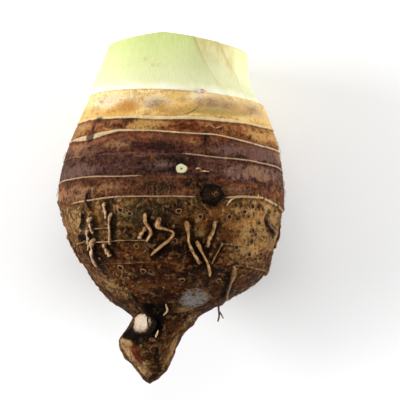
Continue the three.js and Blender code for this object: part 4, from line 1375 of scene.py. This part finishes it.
def bud():
    """The dark dormant bud: a low dome of worn scales with a dry curl on it."""
    def outline(turn):
        lobes = 0.06 * np.sin(3 * turn + 1) + 0.05 * np.sin(5 * turn + 2) + 0.04 * np.sin(9 * turn)
        return BUD["radius"] * (1 + lobes + 0.03 * np.sin(17 * turn + 1))

    builder = Builder()
    spot = local_frame(BUD["spot"])
    disc(builder, spot, BUD["profile"], 96, outline, lean_from=math.pi / 2)
    builder.roughen(1.4, 0.45, seed=91)
    builder.piece("bud", bud_material())
    place, side, up, out = spot
    curl = Builder()
    turn = np.linspace(0.4, 4.6, 16)
    ring = BUD_CURL["radius"] * (1 - 0.08 * turn)
    across = BUD_CURL["across"] + ring * np.cos(turn)
    path = place + out * BUD_CURL["lift"] + side * across[:, None] + up * (ring * np.sin(turn))[:, None]
    tube(curl, path, BUD_CURL["half"] * np.sin(np.linspace(0.5, 2.9, 16)), out, 8, tone=0.3)
    curl.piece("bud_curl", rootlet_material("dry_curl", rgb(150, 98, 50), rgb(96, 56, 26)))


def cut_root():
    """The pale face of a cut root, with a pit in its middle."""
    def outline(turn):
        lobes = 0.08 * np.cos(2 * turn) + 0.04 * np.sin(3 * turn + 2) + 0.03 * np.sin(5 * turn)
        return CUT_ROOT["radius"] * (0.93 + lobes)

    builder = Builder()
    disc(builder, local_frame(CUT_ROOT["spot"]), CUT_ROOT["profile"], 40, outline)
    builder.roughen(1.2, 0.08, seed=101)
    material = target_material("cut_root", [
        (0.0, rgb(60, 54, 34)), (0.1, rgb(92, 84, 56)), (0.22, rgb(196, 192, 150)),
        (0.75, rgb(214, 210, 176)), (0.92, rgb(184, 172, 126)), (1.0, rgb(96, 66, 38)),
    ], 0.9, 0.15)
    builder.piece("cut_root", material)


def daughter_stump():
    """Where a daughter corm was cut away: a chipped starchy face in a dark, rotten rim."""
    def outline(turn):
        lobes = 0.07 * np.sin(2 * turn + 1.9) + 0.06 * np.sin(3 * turn + 2) + 0.04 * np.sin(5 * turn + 1)
        taller = 0.1 * np.sin(turn) ** 2
        chips = 0.05 * np.cos(turn) + 0.02 * np.sin(11 * turn)
        return DAUGHTER_STUMP["radius"] * (1.02 + taller + lobes + chips)

    builder = Builder()
    disc(builder, local_frame(DAUGHTER_STUMP["spot"]), DAUGHTER_STUMP["profile"], 72, outline)
    builder.roughen(1.6, 0.3, seed=111)
    material = target_material("stump_face", [
        (0.0, rgb(218, 198, 174)), (0.5, rgb(222, 203, 180)), (0.7, rgb(208, 182, 154)),
        (0.79, rgb(132, 92, 62)), (0.85, rgb(30, 18, 10)), (1.0, rgb(12, 8, 5)),
    ], 0.9, 0.6, ragged=0.5, darkening=1.1)
    builder.piece("daughter_stump", material)
    strand = Builder()
    rootlet(strand, **STRAND, tone=1.0, seed=77)
    strand.piece("dark_strand", plain_material("dark_strand", rgb(10, 7, 5), rgb(44, 32, 24)))


def streak(builder, route, wide, rest, lift, flat, sides):
    """A thin raised strip along a route, narrow at both ends. "rest" is what it lies on in
    skin_route(), "lift" how far it stands off there in mm, at its ends and more in its middle."""
    t = np.linspace(0, 1, STREAK_POINTS)
    path, normal = skin_route(route, STREAK_POINTS, rest)
    half = 0.5 * wide * np.sqrt(np.clip(np.sin(math.pi * (0.06 + 0.88 * t)), 0, 1))
    path = path + between(*lift, np.sin(math.pi * t))[:, None] * normal
    tube(builder, path, np.stack([half, flat * half], -1), normal, sides)


def tail_details():
    """On the broken tail: a pinkish knob, a curled scar and pale slivers."""
    knob = Builder()
    disc(knob, local_frame(TAIL_KNOB["spot"]), TAIL_KNOB["profile"], 24,
         lambda turn: TAIL_KNOB["radius"] * (1 + 0.3 * np.cos(2 * turn)))
    knob.roughen(1.0, 0.15, seed=121)
    knob.piece("tail_knob", plain_material("knob", rgb(50, 28, 16), rgb(150, 100, 68), size=1.4))

    scar = Builder()
    place, side, up, out = local_frame(TAIL_SCAR["spot"])
    turn = np.linspace(-0.6, 4.4, 26)
    across = TAIL_SCAR["across"] * np.cos(turn)
    curl = side * across[:, None] + up * (TAIL_SCAR["up"] * np.sin(turn))[:, None]
    tube(scar, place + out * 0.3 + curl, 0.5 * np.sin(np.linspace(0.3, 2.9, 26)) ** 0.5, out, 8)
    scar.roughen(1.0, 0.15, seed=131)
    scar.piece("tail_scar", plain_material("tail_scar", rgb(58, 36, 20), rgb(126, 88, 54), size=1.2))

    slivers = Builder()
    for wide, route in SLIVERS:
        streak(slivers, route, wide, 0.8, (0.5, 0.5), 0.4, 10)
    slivers.piece("slivers", plain_material("sliver", rgb(176, 134, 84), rgb(238, 216, 164)))


def flecks():
    """Thin raised streaks on the skin: torn fibres, forks of leaf scars, and a fine crack."""
    materials = {
        "pale_flecks": plain_material("pale_fleck", rgb(160, 118, 74), rgb(224, 190, 144), size=1.0),
        "dark_flecks": plain_material("dark_fleck", rgb(66, 44, 24), rgb(120, 92, 52), size=1.0),
    }
    for name, material in materials.items():
        builder = Builder()
        for wide, route in FLECKS[name]:
            streak(builder, route, wide, 0.1, (0, 0.12), 0.5, 8)
        builder.piece(name, material)


def bark_flakes():
    """Small crusts of bark that lift at one side, most of them low on the corm."""
    random = np.random.default_rng(SEED + 2)
    spots = list(FLAKES_PLACED)
    for _ in range(FLAKES["count"]):
        angle = random.uniform(-180, 180)
        spots.append((angle, random.uniform(*FLAKES["height"]), random.uniform(*FLAKES["radius"])))
    builder = Builder()
    for angle, height, radius in spots:
        place, side, up, out = local_frame((angle, height))
        heading = random.uniform(0, 2 * math.pi)
        lift = math.radians(random.uniform(*FLAKES["lift"]))
        edge = side * math.cos(heading) + up * math.sin(heading)
        raised = out * math.cos(lift) + edge * math.sin(lift)
        along_edge = edge * math.cos(lift) - out * math.sin(lift)
        phase = random.uniform(0, 6)

        def outline(turn):
            return radius * (0.85 + 0.2 * np.sin(2 * turn + phase) + 0.13 * np.sin(5 * turn + 2 * phase))

        spot = (place, along_edge, np.cross(raised, along_edge), raised)
        disc(builder, spot, FLAKE_PROFILE, 14, outline)
    builder.roughen(0.9, 0.18, seed=151)
    builder.piece("bark_flakes", plain_material("bark_flake", rgb(48, 30, 16), rgb(132, 94, 54), size=1.3))


def wiry_root():
    """The wiry root and its branch, which leave the skin straight towards the tail."""
    place, out = on_skin(WIRY_ROOT["angle"], WIRY_ROOT["height"])
    t = np.linspace(0, 1, 30)
    way = np.stack([WIRY_ROOT["drift"] * t, 0 * t, -WIRY_ROOT["drop"] * t], -1)
    crooked = np.stack([0.35 * np.sin(9 * t + 1), 0.3 * np.sin(7 * t), 0 * t], -1) * np.sqrt(t)[:, None]
    path = place - WIRY_ROOT["sunk"] * out + way + crooked
    radius = 0.5 * between(WIRY_ROOT["wide"], WIRY_ROOT["tip"], np.sqrt(t))
    builder = Builder()
    tube(builder, path, 0.8 * radius, TOP_SIDE, 8, tone=1.0)
    fork = path[round(WIRY_BRANCH["start"] * (len(t) - 1))]
    way = np.stack([WIRY_BRANCH["out"] * t, 0 * t, -WIRY_BRANCH["drop"] * t**1.3], -1)
    radius = 0.5 * between(WIRY_BRANCH["wide"], WIRY_BRANCH["tip"], t)
    tube(builder, fork + way, 0.75 * radius, TOP_SIDE, 8, tone=1.0)
    builder.roughen(1.5, 0.12, seed=141)
    builder.piece("wiry_root", rootlet_material("wiry", rgb(40, 28, 20), rgb(20, 14, 10)))


def hairs():
    """Fine hairs that leave the skin and lie down along it towards the tail."""
    random = np.random.default_rng(SEED + 1)
    materials = {
        "pale_hairs": plain_material("pale_hair", rgb(104, 74, 44), rgb(168, 132, 88), size=2.0, depth=0.0),
        "dark_hairs": plain_material("dark_hair", rgb(22, 13, 7), rgb(58, 36, 20), depth=0.0),
    }
    builders = {name: Builder() for name in materials}
    t = np.linspace(0, 1, HAIR_POINTS)
    for kind in HAIRS:
        for _ in range(kind["count"]):
            start_angle = random.uniform(*kind["angle"])
            start_height = random.uniform(*kind["height"])
            step = random.uniform(*kind["length"]) / HAIR_POINTS
            turned = math.radians(random.uniform(-kind["turn"], kind["turn"])) + random.uniform(-0.9, 0.9) * t
            across = np.concatenate([[0], np.cumsum(np.sin(turned))])[:-1] * step
            down = np.concatenate([[0], np.cumsum(np.cos(turned))])[:-1] * step
            degrees = start_angle + np.degrees(across / SKIN_RADIUS)
            points, _, normal = corm_points(degrees, growth_level(degrees, start_height - down))
            lift = 0.05 + random.uniform(0.1, 0.7) * np.sin(math.pi * t)
            radius = kind["radius"] * (1 - 0.6 * t)
            tube(builders[kind["name"]], points + normal * lift[:, None], radius, normal, 4)
    for name, builder in builders.items():
        builder.piece(name, materials[name])


# ---- the leaf stalks


def base_plane(x):
    """Height of the crown's rim, on which the stalks stand."""
    height, lean = RINGS[-1, 0], RINGS[-1, 1]
    left = float(along(CORM_OUTLINE, 1, np.float64(height)))
    right = float(along(CORM_OUTLINE, 2, np.float64(height)))
    return height + SHEATH_GAP + lean * (x - (left + right) / 2) / ((right - left) / 2)


def cut_plane(x):
    """Height of the cut across the stalks: two slopes that meet at a ridge."""
    slope = np.where(x < CUT["ridge"], CUT["left_slope"], CUT["right_slope"])
    return CUT["height"] + slope * (x - CUT["ridge"])


def margins(sheath, height):
    """Angles of a sheath's two margins, the front one a whole turn on."""
    back = np.interp(height, MARGIN_HEIGHTS, sheath["back"])
    front = np.interp(height, MARGIN_HEIGHTS, sheath["front"]) + 360
    return back, front


def thickness(sheath, degrees, height):
    """A sheath is thin at its margins and thick half way between them."""
    back, front = margins(sheath, height)
    t = np.clip((degrees % 360 - back) / (front - back), 0, 1)
    return between(sheath["thin"], sheath["thick"], np.sin(math.pi * t) ** 2)


def clearance(sheath, degrees, height):
    """How much of a sheath's own depth the stalk under it keeps clear at an angle."""
    back, front = margins(sheath, height)
    turned = degrees % 360
    past = np.maximum(back - turned, turned - front)
    return 1 - (1 - smooth(*FOOT["heights"], height)) * smooth(*FOOT["past"], past)


def stalk_point(degrees, height, under):
    """A point on the outside of the stalk that lies under the sheaths given."""
    depth = 0 * height
    for sheath in under:
        taken = thickness(sheath, degrees, height) + SHEATH_GAP
        depth = depth + taken * clearance(sheath, degrees, height)
    return skin(STALK_OUTLINE, np.radians(degrees), height, -depth)


def stand(points, share):
    """Moves points up or down to their share of the way from the crown to the cut."""
    points = points.copy()
    points[..., 2] = between(base_plane(points[..., 0]), cut_plane(points[..., 0]), share)
    return points


def box_surface(nx, ny, nz):
    """The lattice on a unit box's surface: places from 0 to 1, and outward quads."""
    index = -np.ones((nx + 1, ny + 1, nz + 1), int)
    i, j, k = np.meshgrid(np.arange(nx + 1), np.arange(ny + 1), np.arange(nz + 1), indexing="ij")
    outer = (i == 0) | (i == nx) | (j == 0) | (j == ny) | (k == 0) | (k == nz)
    index[outer] = np.arange(outer.sum())
    places = np.stack([i[outer] / nx, j[outer] / ny, k[outer] / nz], -1)
    faces = []
    for grid, flip in (
        (index[0], True), (index[nx], False), (index[:, 0], False),
        (index[:, ny], True), (index[:, :, 0], True), (index[:, :, nz], False),
    ):
        a, b, c, d = grid[:-1, :-1], grid[1:, :-1], grid[1:, 1:], grid[:-1, 1:]
        quads = np.stack([a, d, c, b] if flip else [a, b, c, d], -1).reshape(-1, 4)
        faces.extend(quads.tolist())
    return places, faces


def stain(turned, height, middle, half, strength):
    """A soft round stain, by its middle and half its size in degrees and mm."""
    across = (turned - middle[0]) / half[0]
    up = (height - middle[1]) / half[1]
    return strength * np.exp(-(across**2) - up**2)


def stalk_piece(name, node, tints, mesh, share, degrees, depth, past=None):
    """Makes one stalk of points and faces, with its stains by angle and height, a green rim on
    the cut by depth in mm, and dry margins by how far in mm a vertex is from them."""
    points, faces = mesh
    height = points[:, 2]
    turned = turned_from(degrees, 0)
    sloped = height + MEMBRANE["slope"] * (turned + MEMBRANE["turned"])
    membrane = smooth(*MEMBRANE["left"], turned) * smooth(*MEMBRANE["right"], turned)
    membrane = membrane * smooth(*MEMBRANE["height"], sloped)
    bruise = sum(stain(turned, height, *one) for one in BRUISES)
    edge = 0 * height
    if past is not None:
        edge = np.exp(-((past / EDGE_WIDTH) ** 2)) * (0.3 + 0.7 * smooth(152, 166, height))
    builder = Builder()
    builder.add(
        points, faces, share=share, edge=edge, membrane=np.clip(membrane, 0, 1),
        ashen=stain(turned, height, *ASHEN), bruise=np.clip(bruise, 0, 1),
        cut=smooth(*CUT_SHARE, share), rim=np.exp(-((depth / RIM_WIDTH) ** 2)),
    )
    piece = builder.piece(name, stalk_material(name, *tints), name)
    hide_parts(node)


def sheath(name, node, shape, under, tints):
    """An open sheath wrapped round the stalks inside it."""
    places, faces = box_surface(STALK_GRID["around"], STALK_GRID["through"], STALK_GRID["up"])
    share = places[:, 2]
    height = between(MARGIN_HEIGHTS[0], MARGIN_HEIGHTS[-1], share)
    back, front = margins(shape, height)
    degrees = between(back, front, places[:, 0])
    outside = stalk_point(degrees, height, under)
    inward = stalk_point(degrees, height, [*under, shape]) - outside
    inward = inward / np.linalg.norm(inward, axis=1, keepdims=True)
    thick = thickness(shape, degrees, height)
    deep = thick * places[:, 1]
    points = stand(outside + inward * deep[:, None], share)
    past = (front - degrees) * np.radians(1) * STALK_RADIUS
    stalk_piece(name, node, tints, (points, faces), share, degrees, np.minimum(deep, thick - deep), past)


def core_stalk(name, node, under, tints):
    """The innermost stalk: its outside from the foot up, then rings across the cut."""
    around, up, rings = (STALK_GRID[key] for key in ("around", "up", "rings"))
    share_rows = np.concatenate([np.linspace(0, 1, up + 1), np.ones(rings - 1)])
    reach_rows = np.concatenate([np.ones(up + 1), np.linspace(1, 0, rings + 1)[1:-1]])
    turned, share = np.meshgrid(-180 + 360 * np.arange(around) / around, share_rows)
    reach = np.repeat(reach_rows[:, None], around, axis=1)
    height = between(MARGIN_HEIGHTS[0], MARGIN_HEIGHTS[-1], share)
    edge = stalk_point(turned, height, under)
    middle = (skin(STALK_OUTLINE, 0 * height, height) + skin(STALK_OUTLINE, math.pi + 0 * height, height)) / 2
    grid = stand(between(middle, edge, reach[..., None]), share)
    foot, top = stand(np.stack([middle[0, 0], middle[-1, 0]]), np.array([0.0, 1.0]))
    mesh = (with_ends(grid, foot, top), grid_faces(len(grid), around))
    depth = STALK_RADIUS * (1 - with_ends(reach, 0, 0))
    stalk_piece(name, node, tints, mesh, with_ends(share, 0, 1), with_ends(turned, 0, 0), depth)


def bud_tip():
    """The pink tip of an axillary bud, squeezed out between the foot of the stalks and the corm."""
    place, out = on_skin(*BUD_TIP["spot"])
    side = np.cross(UPWARD, out)
    t = np.linspace(0, 1, 14)
    across = BUD_TIP["width"] * (t - 0.5)
    rise = BUD_TIP["arch"] * np.sin(math.pi * t * 0.9) - BUD_TIP["sunk"]
    half = 0.15 + 0.9 * np.sin(math.pi * (0.08 + 0.84 * t)) ** 0.8
    builder = Builder()
    path = place + side * across[:, None] + UPWARD * rise[:, None]
    tube(builder, path, np.stack([half * 0.7, half], -1), UPWARD, 12)
    builder.piece("bud_tip", plain_material("bud_tip", rgb(184, 138, 122), rgb(242, 218, 200), size=2.6))


# ---- stage, light and camera

CAMERA_AIM = np.array([14.0, 0.0, 92.0])
CAMERA_DISTANCE = 1100
CAMERA_RISE = 6
FRAME_WIDTH = 200
SENSOR = 36

LIGHTS = [
    {"name": "left_box", "place": (-0.8, 0.05, 0.45), "size": 0.5, "power": 10},
    {"name": "right_box", "place": (0.8, 0.0, 0.42), "size": 0.6, "power": 7.5},
    {"name": "head_box", "place": (0.0, 0.7, 0.75), "size": 0.6, "power": 3.5},
]
LIGHT_AIM = (0, 0, 0.05)
WORLD_LIGHT = 0.22
FLOOR_HALF = 3.0


def stage():
    """A white floor that the corm lies on."""
    mesh = bpy.data.meshes.new("floor")
    corners = [(x * FLOOR_HALF, y * FLOOR_HALF, 0) for x, y in ((-1, -1), (1, -1), (1, 1), (-1, 1))]
    mesh.from_pydata(corners, [], [(0, 1, 2, 3)])
    floor = link("floor", mesh)
    g = Graph("floor")
    grain = g.node("TexNoise")
    grain.inputs["Scale"].default_value = 40
    colour = g.mix(grain.outputs["Fac"], (0.9, 0.9, 0.9, 1), (0.92, 0.92, 0.92, 1))
    g.plug(g.shader.inputs["Base Color"], colour)
    g.shader.inputs["Roughness"].default_value = 0.95
    mesh.materials.append(g.material)


def lights():
    """Three soft boxes round the corm, and a white world."""
    for one in LIGHTS:
        data = bpy.data.lights.new(one["name"], "AREA")
        data.size = one["size"]
        data.energy = one["power"]
        lamp = link(one["name"], data)
        lamp.location = one["place"]
        aim = Vector(LIGHT_AIM) - Vector(one["place"])
        lamp.rotation_euler = aim.to_track_quat("-Z", "Y").to_euler()
    world = bpy.data.worlds.new("studio")
    world.use_nodes = True
    world.node_tree.nodes["Background"].inputs["Color"].default_value = (1, 1, 1, 1)
    world.node_tree.nodes["Background"].inputs["Strength"].default_value = WORLD_LIGHT
    bpy.context.scene.world = world


def camera():
    """Looks square at the growth axis, from a little towards the tail, as the photograph does."""
    rise = math.radians(CAMERA_RISE)
    ahead = np.array([0.0, math.cos(rise), math.sin(rise)])
    upward = np.array([0.0, -math.sin(rise), math.cos(rise)])
    right = np.array([1.0, 0.0, 0.0])
    place = lay_down(CAMERA_AIM - CAMERA_DISTANCE * ahead)
    columns = [lay_down_direction(axis) for axis in (right, upward, -ahead)] + [place]
    data = bpy.data.cameras.new("camera")
    data.sensor_width = SENSOR
    data.lens = SENSOR * CAMERA_DISTANCE / FRAME_WIDTH
    data.clip_end = 10
    seer = link("camera", data)
    seer.matrix_world = Matrix([*np.stack(columns, -1).tolist(), [0, 0, 0, 1]])
    bpy.context.scene.camera = seer


bpy.context.scene.view_settings.view_transform = "Standard"
stage()
lights()
camera()
corm_skin()
root_scars()
rootlets()
bud()
cut_root()
daughter_stump()
tail_details()
wiry_root()
flecks()
bark_flakes()
hairs()
sheath("outer_stalk", "petiole_outer", OUTER_SHEATH, [], STALK_TINTS["outer"])
sheath("second_stalk", "petiole_second", SECOND_SHEATH, [OUTER_SHEATH], STALK_TINTS["second"])
core_stalk("inner_stalk", "petiole_inner", [OUTER_SHEATH, SECOND_SHEATH], STALK_TINTS["inner"])
bud_tip()
